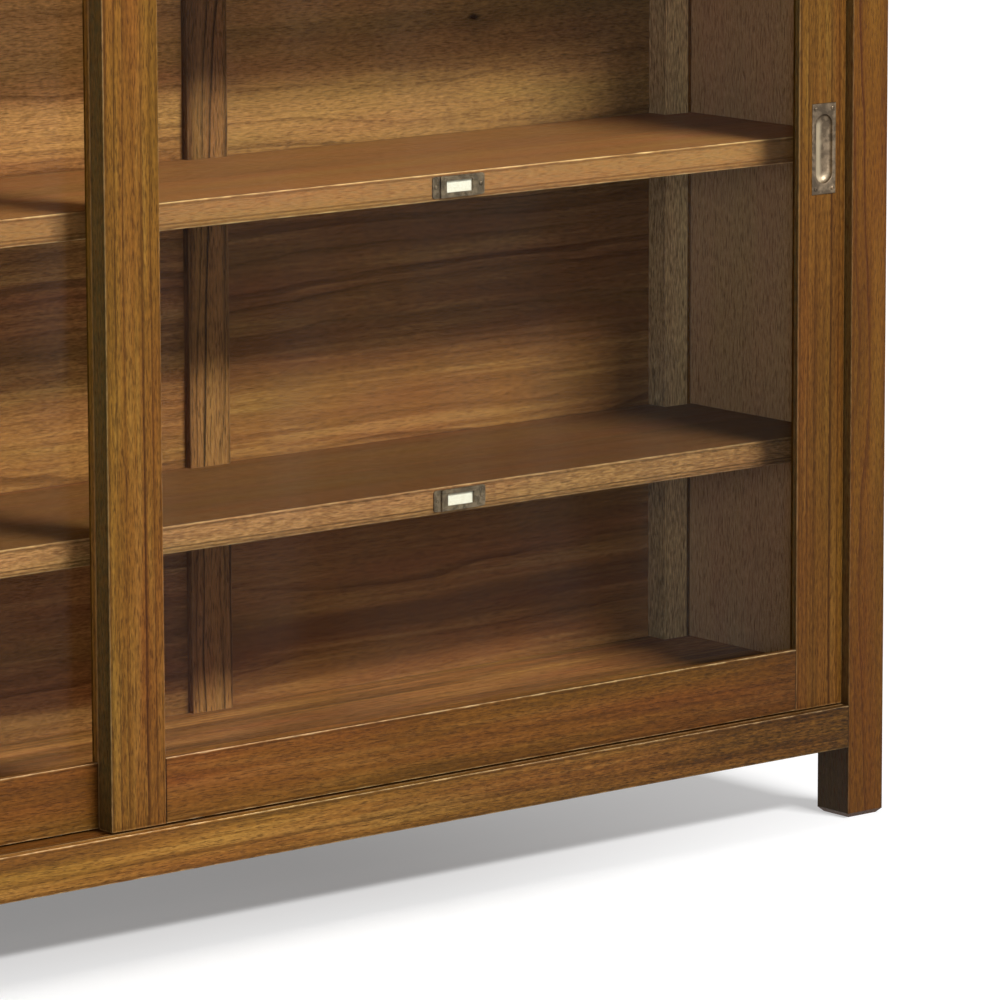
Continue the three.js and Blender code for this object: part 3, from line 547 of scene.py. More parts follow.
deep = node(wood, "HueSaturation", {"Value": DEEP_VALUE, "Color": wood_in["Dark"]}).outputs[0]
coats = [
    (times(wood, shady, SHADY_SHARE), wood_in["Dark"]),
    (times(wood, late, wood_in["Rings"]), wood_in["Dark"]),
    (times(wood, blotch, BLOTCH_SHARE), wood_in["Dark"]),
    (times(wood, knot_ring, KNOT_SHARE), wood_in["Dark"]),
    (shoulder, wood_in["Dark"]),
    (lipped, edging_and_shade),
    (times(wood, seam, lipped), wood_in["Dark"]),
    (pore, wood_in["Dark"]),
    (knot_core, deep),
    (gathered_and_shaded, deep),
    (joint, deep),
    (rubbed_and_highlit, wood_in["Worn"]),
]
mixed = blend(wood, calc(wood, "MAXIMUM", pale, sapwood), wood_in["Base"], wood_in["Light"])
for amount, coat in coats:
    mixed = blend(wood, amount, mixed, coat)
print("coats:", len(coats))

# %% [markdown]
# The colour of real wood is never even. Each stave has its own tint, a fine speckle breaks up the
# surface, and its hue turns a little from place to place. A board may fade along and across it and
# dim towards its ends; set board by board, these mostly paint how the light falls off over the
# case, and the outermost side face gets painted shade.

# %% Brightness and hue
TINT = (0.3, -0.15)
SPECKLE = (0.9, 0.55)
TURN_SCALE = (2.6, 26.0, 26.0)
TURN = (0.04, 0.48)

share = vector(wood, "DIVIDE", inside, wood_in["Half"])
# painted light and shade: the fade across a board and its dimmed ends
light_fade = node(wood, "VectorMath", {0: share, 1: wood_in["Fade"]}, operation="DOT_PRODUCT")
share_along = node(wood, "SeparateXYZ", {0: vector(wood, "ABSOLUTE", share)}).outputs[0]
dim_ends = times(wood, share_along, wood_in["Ends"])
light_fade = calc(wood, "SUBTRACT", light_fade.outputs["Value"], dim_ends)
tint = calc(wood, "MULTIPLY_ADD", stave_random["Value"], *TINT)
grainy = calc(wood, "MULTIPLY_ADD", speckle, *SPECKLE)
brightness = calc(wood, "ADD", calc(wood, "ADD", tint, grainy), light_fade)
# painted shade darkens the outermost side face
brightness = calc(wood, "SUBTRACT", brightness, side_face_shade)
turn = calc(wood, "MULTIPLY_ADD", noise(wood, place, TURN_SCALE), *TURN)
values = {"Hue": turn, "Value": brightness, "Color": mixed}
mixed = node(wood, "HueSaturation", values).outputs[0]
print("brightness and hue")

# %% [markdown]
# Open pores are dull and lie low, and so, less clearly, does the late wood between the fibres.

# %% Roughness and relief
FINE_ROUGH = 0.25
PORE_ROUGH = 0.2
FINE_RELIEF = 0.5
PORE_RELIEF = 0.8
LATE_RELIEF = 0.3

uneven = times(wood, calc(wood, "SUBTRACT", fine, 0.5), FINE_ROUGH)
dull = calc(wood, "ADD", wood_in["Rough"], uneven)
dull = calc(wood, "ADD", dull, times(wood, pore, PORE_ROUGH), clamp=True)
relief = times(wood, fine, FINE_RELIEF)
relief = calc(wood, "SUBTRACT", relief, times(wood, pore, PORE_RELIEF))
relief = calc(wood, "SUBTRACT", relief, times(wood, late, LATE_RELIEF))
wood_out = wood.nodes.new("NodeGroupOutput").inputs
for name, result in {"Colour": mixed, "Roughness": dull, "Height": relief}.items():
    wood.links.new(result, wood_out[name])
print("wood group has", len(wood.nodes), "nodes")

# %% [markdown]
# Each part of the case was cut from different timber, so there is a recipe for each kind of board:
# its colours, how far apart its rings are, how much they wander, and how rough it is. Edging
# is the real lipping on a shelf front, but on posts, stiles and panels it is painted light and
# shade for their narrow faces.

# %% Recipes
RECIPES = {
    "stile": dict(
        Dark="#46260a", Base="#82561f", Light="#9a7030", Worn="#b28a58", Edging="#4c4327",
        Gap=0.014, Wave=0.014, Rings=1.0, Streaks=0.55, Pores=0.6, Stains=0.25,
        Wear=0.45, Rough=0.42,
    ),
    "post": dict(
        Dark="#46230c", Base="#6c4415", Light="#7c5120", Worn="#96704a", Edging="#624d2a",
        Gap=0.017, Wave=0.12, Rings=1.0, Streaks=0.5, Pores=0.6, Stains=0.4,
        Wear=0.4, Rough=0.44,
    ),
    "rail": dict(
        Dark="#43260b", Base="#74481a", Light="#8a5d2a", Worn="#c9a878",
        Gap=0.013, Wave=0.020, Rings=0.45, Streaks=0.6, Pores=0.55, Stains=0.4,
        Wear=0.75, Rough=0.42,
    ),
    "apron": dict(
        Dark="#46290c", Base="#7f5522", Light="#a07538", Worn="#cfae7c",
        Gap=0.013, Wave=0.022, Rings=0.7, Streaks=0.65, Pores=0.6, Stains=0.4,
        Wear=0.8, Rough=0.42,
    ),
    "shelf": dict(
        Dark="#5c3818", Base="#986638", Light="#a87342", Worn="#e2bd84", Edging="#bd8c58",
        Gap=0.022, Wave=0.030, Rings=0.3, Streaks=0.3, Pores=0.4, Stains=0.25,
        Wear=0.9, Rough=0.5, Seam=0.75, Fleck=0.55,
    ),
    "floor": dict(
        Dark="#3c2410", Base="#8a5a2e", Light="#a8763f", Worn="#a8763f",
        Gap=0.011, Wave=0.030, Rings=0.6, Streaks=0.9, Pores=0.5, Stains=0.5,
        Knots=0.15, Wear=0.2, Rough=0.5,
    ),
    "panel": dict(
        Dark="#452511", Base="#865a30", Light="#bc8c52", Worn="#9a6d3b",
        Gap=0.048, Wave=0.15, Rings=0.62, Streaks=0.35, Pores=0.4, Stains=0.25,
        Knots=0.1, Wear=0.1, Rough=0.5, Sap=0.42,
    ),
    "rustic": dict(
        Dark="#20110a", Base="#70492a", Light="#94693a", Worn="#a88a5c",
        Gap=0.014, Wave=0.11, Rings=1.0, Streaks=0.6, Pores=0.6, Stains=0.4,
        Knots=0.3, Wear=0.3, Rough=0.6, Sap=0.058,
    ),
    "back post": dict(
        Dark="#3a1d08", Base="#6a4014", Light="#7c5120", Worn="#96704a", Edging="#9c8662",
        Gap=0.020, Wave=0.075, Rings=0.95, Streaks=0.5, Pores=0.6, Stains=0.4,
        Wear=0.3, Rough=0.6,
    ),
    "side panel": dict(
        Dark="#3f240d", Base="#704618", Light="#835726", Worn="#835726", Edging="#8f7558",
        Gap=0.030, Wave=0.060, Rings=0.7, Streaks=0.5, Pores=0.5, Stains=0.4,
        Wear=0.1, Rough=0.6, Fleck=0.22,
    ),
    "plain": dict(
        Dark="#6b4a28", Base="#9a7648", Light="#ab8757", Worn="#b3946a",
        Gap=0.012, Wave=0.020, Rings=0.5, Streaks=0.4, Pores=0.4, Stains=0.1,
        Wear=0.3, Rough=0.65,
    ),
}
print("recipes:", ", ".join(RECIPES))

# %% [markdown]
# A board's material turns the place of a point into grain coordinates: the letters in its order say
# which world direction runs along the grain, across it and through it. The left half of the case is
# made as the mirror of the right one. The box of the board, less the tenons at its ends, tells the
# group where the arrises are, and what a recipe doesn't say stays as in the defaults.

# %% A board's material
SPECULAR = 0.1
RELIEF_DEPTH = 0.0004
AXES = "xyz"
SEED_STEP = 0.37
SEED_SHARES = (1.0, 0.61, 0.29)
JOINT_STRENGTH = 0.9
BOARD_DEFAULTS = {
    "Edging": "#000000",
    "Stave": 50.0,
    "Sap": 9.0,
    "Knots": 0.0,
    "Lip": -1.0,
    "Fleck": 0.4,
    "Seam": 0.0,
    "Foot": -1.0,
    "Side": 0.0,
}


def dress(name, material):
    for holder in nodes[name].material_slots:
        holder.material = material


def board_material(name, recipe, order, pith, tone=1.0, tenon=0.0, edge=None, **more):
    """Dresses one board; tone brightens its colours, and edge, if given, its strip instead."""
    low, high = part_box(name)
    mirror = Vector((-1 if "left" in name else 1, 1, 1))
    centre = (low + high) / 2 * mirror
    half = (high - low) / 2
    turned = [AXES.index(letter) for letter in order]
    half[turned[0]] -= tenon
    material, tree = new_material(name)
    spot = vector(tree, "MULTIPLY", node(tree, "TexCoord").outputs["Object"], mirror)
    parts = node(tree, "SeparateXYZ", {0: spot}).outputs
    seed = sum(map(ord, name)) * SEED_STEP
    values = BOARD_DEFAULTS | {
        "Centre": [centre[axis] for axis in turned],
        "Half": [half[axis] for axis in turned],
        "Seed": [seed * share for share in SEED_SHARES],
        "Pith": (0.0, *pith),
        "Joints": JOINT_STRENGTH if tenon else 0.0,
    }
    values |= RECIPES[recipe] | more
    for key in WOOD_INPUTS["Color"]:
        own_tone = edge if edge and key == "Edging" else tone
        values[key] = (*[min(1, part * own_tone) for part in colour(values[key])[:3]], 1.0)
    grain = {i: parts[axis] for i, axis in enumerate(turned)}
    values["Place"] = node(tree, "CombineXYZ", grain).outputs[0]
    group = node(tree, "Group", node_tree=wood)
    for key, value in values.items():
        if isinstance(value, bpy.types.NodeSocket):
            tree.links.new(value, group.inputs[key])
        else:
            group.inputs[key].default_value = value
    bump = node(tree, "Bump", {"Height": group.outputs["Height"], "Distance": RELIEF_DEPTH})
    surface = {
        "Base Color": group.outputs["Colour"],
        "Roughness": group.outputs["Roughness"],
        "Normal": bump.outputs[0],
        "Specular IOR Level": SPECULAR,
    }
    finish_surface(tree, node(tree, "BsdfPrincipled", surface).outputs[0])
    dress(name, material)


print("board defaults:", BOARD_DEFAULTS)

# %% [markdown]
# Each end of the case has two posts, a panel between them, two rails and a back stile. The inner
# side of the front post, the inner strip of the back post and the inner half of the panel are edge
# strips with tones of their own, which are painted light and shade: the strips are lightened where
# little light gets in, and darker at the left end as painted shade. The fades along the posts, the
# panel and the back stile paint the light that falls off inside the case.

# %% The ends of the case
TENON = 0.025
SIDE_LIP = 0.0007
POST_STRIP = 0.032
PANEL_MIDDLE = 0.005
FOOT_HEIGHT = 0.13
# painted light and shade of the inner strips, darker at the left end
PAINTED_INSIDE_TONES = {"left": 0.6, "right": 1.0}
POST_STRIP_PAINTED_LIGHT = 2.1
PANEL_STRIP_PAINTED_LIGHT = 1.38

for side, painted_inside_tone in PAINTED_INSIDE_TONES.items():
    board_material(
        f"post_front_{side}", "post", "zxy", pith=(0.10, 0.02), tone=0.84,
        edge=1.0, Lip=SIDE_LIP, Foot=FOOT_HEIGHT, Fade=(0.22, 0, 0),
    )
    board_material(
        f"post_back_{side}", "back post", "zxy", pith=(0.05, -0.03), tone=0.9,
        edge=POST_STRIP_PAINTED_LIGHT * painted_inside_tone, Lip=POST_STRIP, Side=0.35, Fade=(0.18, 0, 0),
    )
    board_material(
        f"side_panel_{side}", "side panel", "zxy", pith=(0.04, 0.09),
        edge=PANEL_STRIP_PAINTED_LIGHT * painted_inside_tone, Lip=PANEL_MIDDLE, Fade=(0, -0.3, 0),
    )
    board_material(f"back_stile_{side}", "rustic", "zxy", pith=(-0.05, 0.03), Fade=(-0.45, 0, 0))
    for level in ("bottom", "top"):
        board_material(f"side_{level}_rail_{side}", "rail", "yzx", pith=(0.07, 0.05), tenon=TENON)
print("ends dressed")

# %% [markdown]
# Back panels lie with their grain level. Their tones, and the fade that makes them darker towards
# the top and the right, are painted light and shade for the light that falls off inside the case,
# and their pale sapwood partly stands in as painted light in the upper bay. Rails that are tenoned
# into the posts get dark joints, and plain wood serves where nobody looks.

# %% Back, rails and tracks
# painted light and shade: panel tones and their darkening towards the top and right
PANEL_PAINTED_LIGHT = {"left": (0.86, -0.65), "middle": (1.45, -0.05), "right": (0.87, -0.72)}

for part, (tone, rise) in PANEL_PAINTED_LIGHT.items():
    light_fade = (-0.14, rise, 0)
    board_material(f"back_panel_{part}", "panel", "xzy", pith=(-0.42, 0.10), tone=tone, Fade=light_fade)
jointed = dict(order="xzy", tenon=TENON)
board_material("front_apron", "apron", pith=(0.03, 0.06), tone=1.18, Ends=0.7, **jointed)
board_material("front_top_rail", "rail", pith=(-0.03, 0.06), Ends=0.3, **jointed)
board_material("back_bottom_rail", "plain", pith=(0.05, 0.05), tone=0.8, **jointed)
board_material("back_top_rail", "plain", pith=(0.05, 0.04), tone=0.8, **jointed)
for name in ("bottom_track", "top_track"):
    board_material(name, "rail", "xyz", pith=(0.08, 0.03), tone=0.9)
board_material("floor_bearer", "plain", "yzx", pith=(0.04, 0.05))
print("back, rails and tracks dressed")

# %% [markdown]
# Shelves, floor and top are wide boards glued up from staves, with the grain along the case. Each
# shelf has its own tone, edge tone and fade, partly as boards from different logs have and partly
# as painted light and shade: the lowest shelf is darker, and its front darkens to the right where
# the door stile shades it.

# %% Shelves, floor and top
LIP = 0.002
# tone, edge tone and fade: partly the timber, partly painted light and shade
SHELF_TONES_AND_SHADE = {
    "shelf_1": (0.69, 0.98, -0.28),
    "shelf_2": (0.98, 0.52, 0.08),
    "shelf_3": (1.0, 1.0, 0.0),
}
STAVE = 0.125
TOP_STAVE = 0.15

for name, (tone, edge, along) in SHELF_TONES_AND_SHADE.items():
    front = dict(edge=edge, Lip=LIP, Fade=(along, 0, 0))
    board_material(name, "shelf", "xyz", pith=(0.05, -0.14), tone=tone, Stave=STAVE, **front)
board_material("floor_board", "floor", "xyz", pith=(0.05, -0.14), tone=1.3, Stave=STAVE)
board_material("top_board", "shelf", "xyz", pith=(0.04, -0.15), tone=0.75, Stave=TOP_STAVE)
print("shelves, floor and top dressed")

# %% [markdown]
# Door frames take the stain of the case. The outer stiles are darker than the inner ones, and the
# rails of both doors a little darker to the right, as painted shade where the light falls off to
# the right. The left door's inner stile, in the shadow of the right door, is darker as painted
# shade, and the narrow side strip of each stile is painted shade too.

# %% The boards of the doors
# painted shade: the outer stiles, the left door's inner stile and the rails' right ends
INNER_SHADE_TONES = {"left": 0.7, "right": 1.0}
OUTER_SHADE_TONE = 0.64
RAIL_SHADE_FADES = {"left": 0.18, "right": -0.18}

for side in ("left", "right"):
    for part, tone in (("inner", INNER_SHADE_TONES[side]), ("outer", OUTER_SHADE_TONE)):
        name = f"{side}_door_{part}_stile"
        # the narrow side strip of a stile is painted shade
        narrow = dict(Fade=(0.1, 0, 0), Lip=SIDE_LIP)
        board_material(name, "stile", "zxy", pith=(0.09, 0.02), tone=tone, **narrow)
    for part in ("bottom", "top"):
        name = f"{side}_door_{part}_rail"
        light_fade = (RAIL_SHADE_FADES[side], 0, 0)
        board_material(name, "rail", pith=(0.05, 0.05), tone=0.98, Fade=light_fade, **jointed)
print("boards of the doors dressed")

# %% [markdown]
# ## Glass
# A pane lets nearly all light straight through and mirrors a little more the flatter it is looked
# at. Real refraction would cost many bounces for a shift of a millimetre, so the pane is a clear
# film mixed with a mirror by how glancing the view is, with faint wiping marks in the mirror.

# %% Glass
GLASS_TINT = (0.97, 0.98, 0.965, 1.0)
GLASS_INDEX = 1.09
GLASS_HAZE = 0.006
SMEAR_SCALE = (9.0, 9.0, 3.0)
SMEAR_CUT = (0.4, 0.75)
SMEAR_ROUGHNESS = (0.12, 0.03)

glass_material, tree = new_material("clear glass")
where = node(tree, "TexCoord").outputs["Object"]
smear = step(tree, noise(tree, where, SMEAR_SCALE, 4.0), *SMEAR_CUT)
clear = node(tree, "BsdfTransparent", {"Color": GLASS_TINT})
roughness = calc(tree, "MULTIPLY_ADD", smear, *SMEAR_ROUGHNESS)
mirror = node(tree, "BsdfGlossy", {"Color": WORLD_WHITE, "Roughness": roughness})
glance = node(tree, "Fresnel", {"IOR": GLASS_INDEX}).outputs[0]
share = calc(tree, "ADD", glance, times(tree, smear, GLASS_HAZE), clamp=True)
pane = node(tree, "MixShader", {0: share, 1: clear.outputs[0], 2: mirror.outputs[0]})
finish_surface(tree, pane.outputs[0])
for side in ("left", "right"):
    dress(f"{side}_door_glass", glass_material)
print("glass ready")

# %% [markdown]
# ## Pewter
# The fittings are pewter gone dull: a grey metal with brown tarnish in patches, brighter where
# fingers keep it worn, and in a pull's dish also a painted highlight. Patches and specks are two
# sizes of the same noise, and the specks also make the surface a little uneven.

# %% Pewter
PEWTER_DARK = colour("#5c4f40")
PEWTER_MID = colour("#887660")
# worn pewter, and in a dish the painted highlight
PEWTER_BRIGHT = colour("#aa9c83")
PEWTER_ROUGHNESS = (-0.12, 0.5)
RUBBED_ROUGHNESS = 0.2
TARNISH_SCALE = 120.0
TARNISH_CUT = (0.38, 0.66)
SPECK_SCALE = 900.0
SPECK_CUT = (0.35, 0.7)
SPECK_SHARE = 0.3
FITTING_RELIEF = 0.0001


def pewter_material(name, polish_and_highlight=None):
    """polish_and_highlight, if given, makes from an object place the share that is worn bright and
    painted as a highlight.
    """
    material, tree = new_material(name)
    where = node(tree, "TexCoord").outputs["Object"]
    patches = step(tree, noise(tree, where, TARNISH_SCALE, 4.0), *TARNISH_CUT)
    specks = step(tree, noise(tree, where, SPECK_SCALE), *SPECK_CUT)
    shade = blend(tree, patches, PEWTER_DARK, PEWTER_MID)
    shade = blend(tree, times(tree, specks, SPECK_SHARE), shade, PEWTER_DARK)
    rough = calc(tree, "MULTIPLY_ADD", patches, *PEWTER_ROUGHNESS)
    if polish_and_highlight:
        bright = polish_and_highlight(tree, where)
        shade = blend(tree, bright, shade, PEWTER_BRIGHT)
        rough = calc(tree, "ADD", rough, times(tree, bright, RUBBED_ROUGHNESS))
    bump = node(tree, "Bump", {"Height": specks, "Distance": FITTING_RELIEF, "Strength": 0.5})
    surface = {"Base Color": shade, "Metallic": 1.0, "Roughness": rough, "Normal": bump.outputs[0]}
    finish_surface(tree, node(tree, "BsdfPrincipled", surface).outputs[0])
    return material


holder_pewter = pewter_material("holder pewter")
print("pewter ready")

# %% [markdown]
# ## Card, steel and nylon
# The label cards are soft paper with a faint tooth. The roller housings are zinc plated steel with
# drawn scratches, and the wheels are moulded nylon. All three are two tones mixed by noise, which
# also drives the roughness and the relief.

# %% Card, steel and nylon
MOTTLE_CUT = (0.35, 0.65)
MOTTLE_ROUGHNESS = 0.2


def simple_material(name, first, second, scale, rough, metallic=0.0):
    material, tree = new_material(name)
    where = node(tree, "TexCoord").outputs["Object"]
    mottled = noise(tree, where, scale, 3.0)
    shade = blend(tree, step(tree, mottled, *MOTTLE_CUT), colour(first), colour(second))
    smoothest = rough - MOTTLE_ROUGHNESS / 2
    dullness = calc(tree, "MULTIPLY_ADD", mottled, MOTTLE_ROUGHNESS, smoothest)
    bump = node(tree, "Bump", {"Height": mottled, "Distance": FITTING_RELIEF})
    surface = {
        "Base Color": shade,
        "Metallic": metallic,
        "Roughness": dullness,
        "Normal": bump.outputs[0],
    }
    finish_surface(tree, node(tree, "BsdfPrincipled", surface).outputs[0])
    return material


DRAWN = (90.0, 900.0, 900.0)
card = simple_material("label card", "#e6ddc8", "#f2ecdc", scale=700.0, rough=0.85)
steel = simple_material("plated steel", "#8f9294", "#b4b6b8", DRAWN, rough=0.38, metallic=1.0)
nylon = simple_material("white nylon", "#d2cdbf", "#e4e0d4", scale=240.0, rough=0.5)
for name in nodes:
    if name.startswith("label_holder"):
        dress(name, holder_pewter)
    elif name.startswith("label_card"):
        dress(name, card)
    elif "roller_housing" in name:
        dress(name, steel)
    elif "_roller_" in name:
        dress(name, nylon)
print("fittings dressed")

# %% [markdown]
# ## Softened metal edges
# Light always catches the edge of a cast fitting. The model's meshes are loose triangles, so a Weld
# joins them before a Bevel takes off a third of a millimetre.

# %% Bevels on the label holders and housings
WELD_DISTANCE = 0.00001
BEVEL_WIDTH = 0.0003
BEVEL_SEGMENTS = 2
BEVEL_ANGLE = math.radians(50)

for name in nodes:
    if name.startswith("label_holder") or "roller_housing" in name:
        weld = nodes[name].modifiers.new("weld", "WELD")
        weld.merge_threshold = WELD_DISTANCE
        bevel = nodes[name].modifiers.new("bevel", "BEVEL")
        bevel.width = BEVEL_WIDTH
        bevel.segments = BEVEL_SEGMENTS
        bevel.limit_method = "ANGLE"
        bevel.angle_limit = BEVEL_ANGLE
print("edges softened")

# %% [markdown]
# ## Modelling helpers
# New pieces are made as by hand: add a primitive, go into edit mode, pick what lies in a certain
# place, and push or pull it. Before each new piece everything is deselected, because an operator
# works on all that is selected.


# %% Modelling helpers
def begin(add, **options):
    """Adds a primitive, puts its place into its mesh, and opens it for editing."""
    bpy.ops.object.select_all(action="DESELECT")
    add(**options)
    bpy.ops.object.transform_apply(location=True, rotation=True, scale=True)
    bpy.ops.object.mode_set(mode="EDIT")
    bpy.ops.mesh.select_mode(type="VERT")
    return bpy.context.object


def pick(thing, test):
    """Selects the vertices whose place passes the test, and nothing else."""
    bpy.ops.mesh.select_all(action="DESELECT")
    work = bmesh.from_edit_mesh(thing.data)
    for corner in work.verts:
        corner.select_set(bool(test(corner.co)))
    work.select_flush(True)
    bmesh.update_edit_mesh(thing.data)


def pick_faces(thing, test):
    bpy.ops.mesh.select_all(action="DESELECT")
    work = bmesh.from_edit_mesh(thing.data)
    for face in work.faces:
        face.select_set(bool(test(face)))
    bmesh.update_edit_mesh(thing.data)


def close_up(thing, name, angle=35):
    """Leaves edit mode with faces outward and smooth shading below the angle."""
    bpy.ops.mesh.select_all(action="SELECT")
    bpy.ops.mesh.remove_doubles(threshold=WELD_DISTANCE / 10)
    bpy.ops.mesh.normals_make_consistent(inside=False)
    bpy.ops.object.mode_set(mode="OBJECT")
    bpy.ops.object.shade_smooth_by_angle(angle=math.radians(angle))
    thing.name = name
    return thing


print("modelling helpers ready")

# %% [markdown]
# ## Flush pull
# A flush pull is a pressed metal tray let into the stile: a flat plate with a long dish for the
# fingertips. A boolean cut would leave a hard rim, so it is drawn as one skin. A circle is pulled
# apart into a slot, its rim is sunk step by step along a quarter ellipse, a rectangle is joined
# round it, and a Solidify gives the sheet its thickness.

# %% The dish of a pull
DISH_RADIUS = 0.0115
DISH_STRAIGHT = 0.025
DISH_DEPTH = 0.0075
DISH_RUN = 0.0095
DISH_POINTS = 48
DISH_RINGS = 9
RIM = 0.0006
RIM_STEPS = ((0.5, 0.2), (1.2, 0.0))
SAME = 0.00002


def sink(down):
    """Extrudes what is selected to the back."""
    bpy.ops.mesh.extrude_region_move(TRANSFORM_OT_translate={"value": (0, down, 0)})


def dish_profile():
    """The depth and the radius of each ring, from the rim to the floor of the dish."""
    profile = [(RIM * down, DISH_RADIUS + RIM * out) for down, out in RIM_STEPS]
    rim_depth = profile[-1][0]
    for ring in range(1, DISH_RINGS + 1):
        turn = math.pi / 2 * ring / DISH_RINGS
        down = rim_depth + (DISH_DEPTH - rim_depth) * math.sin(turn)
        profile.append((down, DISH_RADIUS - DISH_RUN * (1 - math.cos(turn))))
    return profile


def draw_dish(thing, middle, front):
    """Pulls the circle apart into a slot, and sinks it ring by ring."""
    for way in (1, -1):
        pick(thing, lambda co: (co.z - middle.z) * way > 0)
        bpy.ops.transform.translate(value=(0, 0, way * DISH_STRAIGHT))
    level = front
    reach = DISH_RADIUS + RIM
    for down, new_reach in dish_profile():
        pick(thing, lambda co: abs(co.y - level) < SAME)
        sink(front + down - level)
        level = front + down
        ratio = new_reach / reach
        for way in (1, -1):
            pick(thing, lambda co: abs(co.y - level) < SAME and (co.z - middle.z) * way > 0)
            arc = (middle.x, level, middle.z + way * DISH_STRAIGHT)
            bpy.ops.transform.resize(value=(ratio, 1, ratio), center_override=arc)
        reach = new_reach
    pick(thing, lambda co: abs(co.y - level) < SAME)
    bpy.ops.mesh.edge_face_add()


print("a dish has", len(dish_profile()), "rings")

# %% [markdown]
# The plate is a rectangle with a narrow slope and a short side behind it, like a pressed sheet's
# edge. Only its outline is drawn, and one fill then closes the gap between it and the dish.

# %% The plate round a dish
PLATE_EDGE = 0.0012
PLATE_SLOPE = PLATE_EDGE * 0.4
OUTLINE_SHARE = 0.45


def draw_plate(thing, middle, front, size):
    here = (middle.x, front, middle.z)
    bpy.ops.mesh.select_all(action="DESELECT")
    bpy.ops.mesh.primitive_plane_add(size=1, location=here, rotation=(math.pi / 2, 0, 0))
    flat = (size.x - 2 * PLATE_SLOPE, 1, size.z - 2 * PLATE_SLOPE)
    bpy.ops.transform.resize(value=flat, center_override=here)
    bpy.ops.mesh.delete(type="ONLY_FACE")
    outline = size.x * OUTLINE_SHARE
    pick(thing, lambda co: abs(co.y - front) < SAME and abs(co.x - middle.x) > outline)
    sink(PLATE_SLOPE)
    wider = (size.x / flat[0], 1, size.z / flat[2])
    bpy.ops.transform.resize(value=wider, center_override=here)
    sink(PLATE_EDGE)
    pick(thing, lambda co: abs(co.y - front) < SAME)
    bpy.ops.mesh.fill(use_beauty=True)


print("plate slope", PLATE_SLOPE, "m")

# %% [markdown]
# The pull stands for the plain one of the model and fills the same box. Its front has to face
# outward, because the Solidify thickens the sheet to the back.

# %% A flush pull
SHEET = 0.0011


def flush_pull(name, stand_in, body):
    low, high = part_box(stand_in)
    middle = (low + high) / 2
    front = low.y
    half_step = math.pi / DISH_POINTS
    thing = begin(
        bpy.ops.mesh.primitive_circle_add,
        vertices=DISH_POINTS,
        radius=DISH_RADIUS + RIM,
        location=(middle.x, front, middle.z),
        rotation=(math.pi / 2, half_step, 0),
    )
    draw_dish(thing, middle, front)
    draw_plate(thing, middle, front, high - low)
    close_up(thing, name)
    backward = sum(face.normal.y * face.area for face in thing.data.polygons)
    if backward > 0:
        thing.data.flip_normals()
    solid = thing.modifiers.new("sheet", "SOLIDIFY")
    solid.thickness = SHEET
    solid.offset = -1
    solid.use_even_offset = True
    bpy.ops.object.modifier_apply(modifier=solid.name)
    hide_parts(stand_in)
    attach(thing, body)
    print(name, "has", len(thing.data.polygons), "faces")
    return thing


print("flush pull ready")

# %% [markdown]
# The floor of the dish is bright on its left half, and a little at its low end: partly worn by
# fingertips, partly a painted highlight of the lamp in the hollow. The walls, the high end and the
# plate stay dull.

# %% Both pulls
RUB_WAVES = 50.0
RUB_RAGGED = 0.006
RUB_ACROSS = (0.0068, 0.001)
RUB_LOW_END = (-0.022, -0.030)
LOW_END_SHARE = 0.3
RUB_HIGH_END = (0.033, 0.024)
RUB_SUNK = (0.0012, 0.004)


def rubbed_and_highlit_dish(middle, front):
    """Makes the function that tells the pewter of one pull where it is worn bright and carries its
    painted highlight.
    """

    def polish_and_highlight(tree, where):
        from_middle = vector(tree, "SUBTRACT", where, (middle.x, front, middle.z))
        across, sunk, along = node(tree, "SeparateXYZ", {0: from_middle}).outputs
        wavy = times(tree, noise(tree, where, RUB_WAVES), RUB_RAGGED)
        # bright left half of the dish: wear and a painted highlight
        rub_and_highlight = step(tree, calc(tree, "ADD", across, wavy), *RUB_ACROSS)
        low_end = times(tree, step(tree, along, *RUB_LOW_END), LOW_END_SHARE)
        rub_and_highlight = calc(tree, "MAXIMUM", rub_and_highlight, low_end)
        rub_and_highlight = times(tree, rub_and_highlight, step(tree, along, *RUB_HIGH_END))
        return times(tree, rub_and_highlight, step(tree, sunk, *RUB_SUNK))

    return polish_and_highlight


for side in ("left", "right"):
    low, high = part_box(f"{side}_door_pull")
    pull = flush_pull(f"{side}_flush_pull", f"{side}_door_pull", f"{side}_door")
    finish = pewter_material(f"{side} pull pewter", rubbed_and_highlit_dish((low + high) / 2, low.y))
    pull.data.materials.append(finish)

# %% [markdown]
# ## Screws
# Every fitting is held by small round-headed screws with one slot. One head is modelled: a short
# cylinder whose front is domed by two insets, cut across by two bisects, and sunk between them for
# the slot.

# %% The first screw
HEAD_RADIUS = 0.0021
HEAD_HEIGHT = 0.0006
HEAD_POINTS = 20
DOME_STEPS = ((0.0004, 0.0002), (0.0006, 0.00015))
SLOT_WIDTH = 0.0006
SLOT_DEPTH = 0.0005
FLAT_FRONT = -0.9
DOMED_FRONT = -0.4


def in_slot(face):
    return face.normal.y < DOMED_FRONT and abs(face.calc_center_median().x) < SLOT_WIDTH / 2


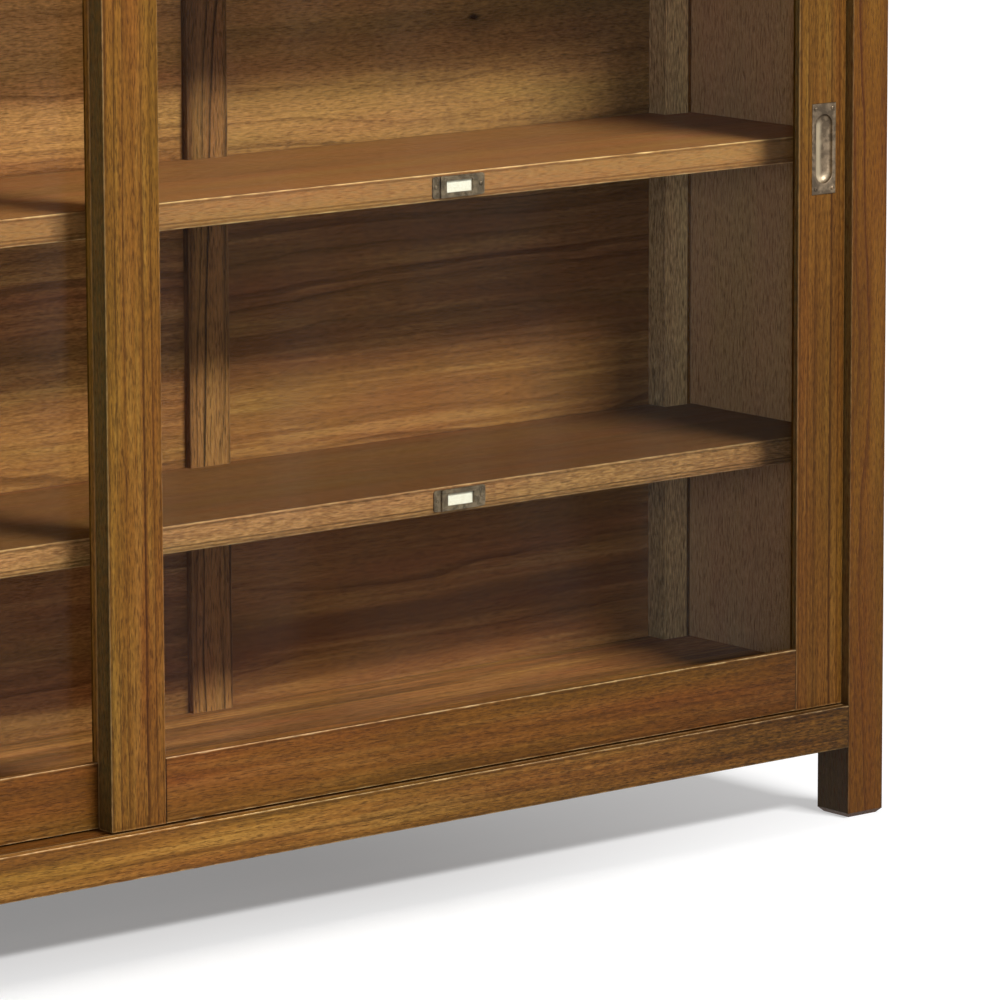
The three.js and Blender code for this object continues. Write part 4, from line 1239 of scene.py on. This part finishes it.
head = begin(
    bpy.ops.mesh.primitive_cylinder_add,
    vertices=HEAD_POINTS,
    radius=HEAD_RADIUS,
    depth=HEAD_HEIGHT,
    rotation=(math.pi / 2, 0, 0),
)
bpy.ops.mesh.select_mode(type="FACE")
pick_faces(head, lambda face: face.normal.y < FLAT_FRONT)
for thickness, rise in DOME_STEPS:
    bpy.ops.mesh.inset(thickness=thickness, depth=rise)
for way in (1, -1):
    bpy.ops.mesh.select_all(action="SELECT")
    bpy.ops.mesh.bisect(plane_co=(way * SLOT_WIDTH / 2, 0, 0), plane_no=(1, 0, 0))
pick_faces(head, in_slot)
sink(SLOT_DEPTH)
close_up(head, "screw_head")
print("screw head has", len(head.data.polygons), "faces")

# %% [markdown]
# A pull has a screw in each corner, a label holder one in each ear, and a roller housing one at
# each end of its flange. The places come from the boxes of the fittings.

# %% Places of the screws
PULL_INSET = (0.0048, 0.0058)
EAR_INSET = 0.0046
EAR_THICKNESS = 0.001
FLANGE_INSET = 0.0045
HEAD_HALF = HEAD_HEIGHT / 2

holes = []
for side in ("left", "right"):
    door = f"{side}_door"
    low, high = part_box(f"{door}_pull")
    for x in (low.x + PULL_INSET[0], high.x - PULL_INSET[0]):
        for z in (low.z + PULL_INSET[1], high.z - PULL_INSET[1]):
            hole = Vector((x, low.y - HEAD_HALF, z))
            holes.append((f"{side}_pull", hole, door, "pewter", "front"))
    for level in (1, 2, 3):
        holder = f"label_holder_{level}_{side}"
        low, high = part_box(holder)
        for x in (low.x + EAR_INSET, high.x - EAR_INSET):
            hole = Vector((x, high.y - EAR_THICKNESS - HEAD_HALF, (low.z + high.z) / 2))
            holes.append((holder, hole, "case", "pewter", "front"))
    for end in ("inner", "outer"):
        housing = f"{door}_roller_housing_{end}"
        low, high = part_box(housing)
        for x in (low.x + FLANGE_INSET, high.x - FLANGE_INSET):
            hole = Vector((x, (low.y + high.y) / 2, low.z - HEAD_HALF))
            holes.append((housing, hole, door, "steel", "under"))
print("holes:", len(holes))

# %% [markdown]
# The head is copied to each hole, with a mesh of its own. Each copy is turned a little differently,
# as screws are when a person drives them, and those under a door are tipped to look down.

# %% Every screw
GOLDEN_TURN = 2.4
FIRST_TURN = 0.3
TIPS = {"front": 0.0, "under": math.pi / 2}

head.data.materials.append(pewter_material("screw pewter"))
for number, (fitting, hole, body, slot_name, direction) in enumerate(holes):
    screw = head.copy()
    screw.data = head.data.copy()
    screw.name = f"{fitting}_screw_{number}"
    spin = Matrix.Rotation(GOLDEN_TURN * number + FIRST_TURN, 4, "Y")
    tip = Matrix.Rotation(TIPS[direction], 4, "X")
    screw.data.transform(Matrix.Translation(hole) @ tip @ spin)
    bpy.context.scene.collection.objects.link(screw)
    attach(screw, body)
bpy.data.objects.remove(head)
print("screws driven:", len(holes))
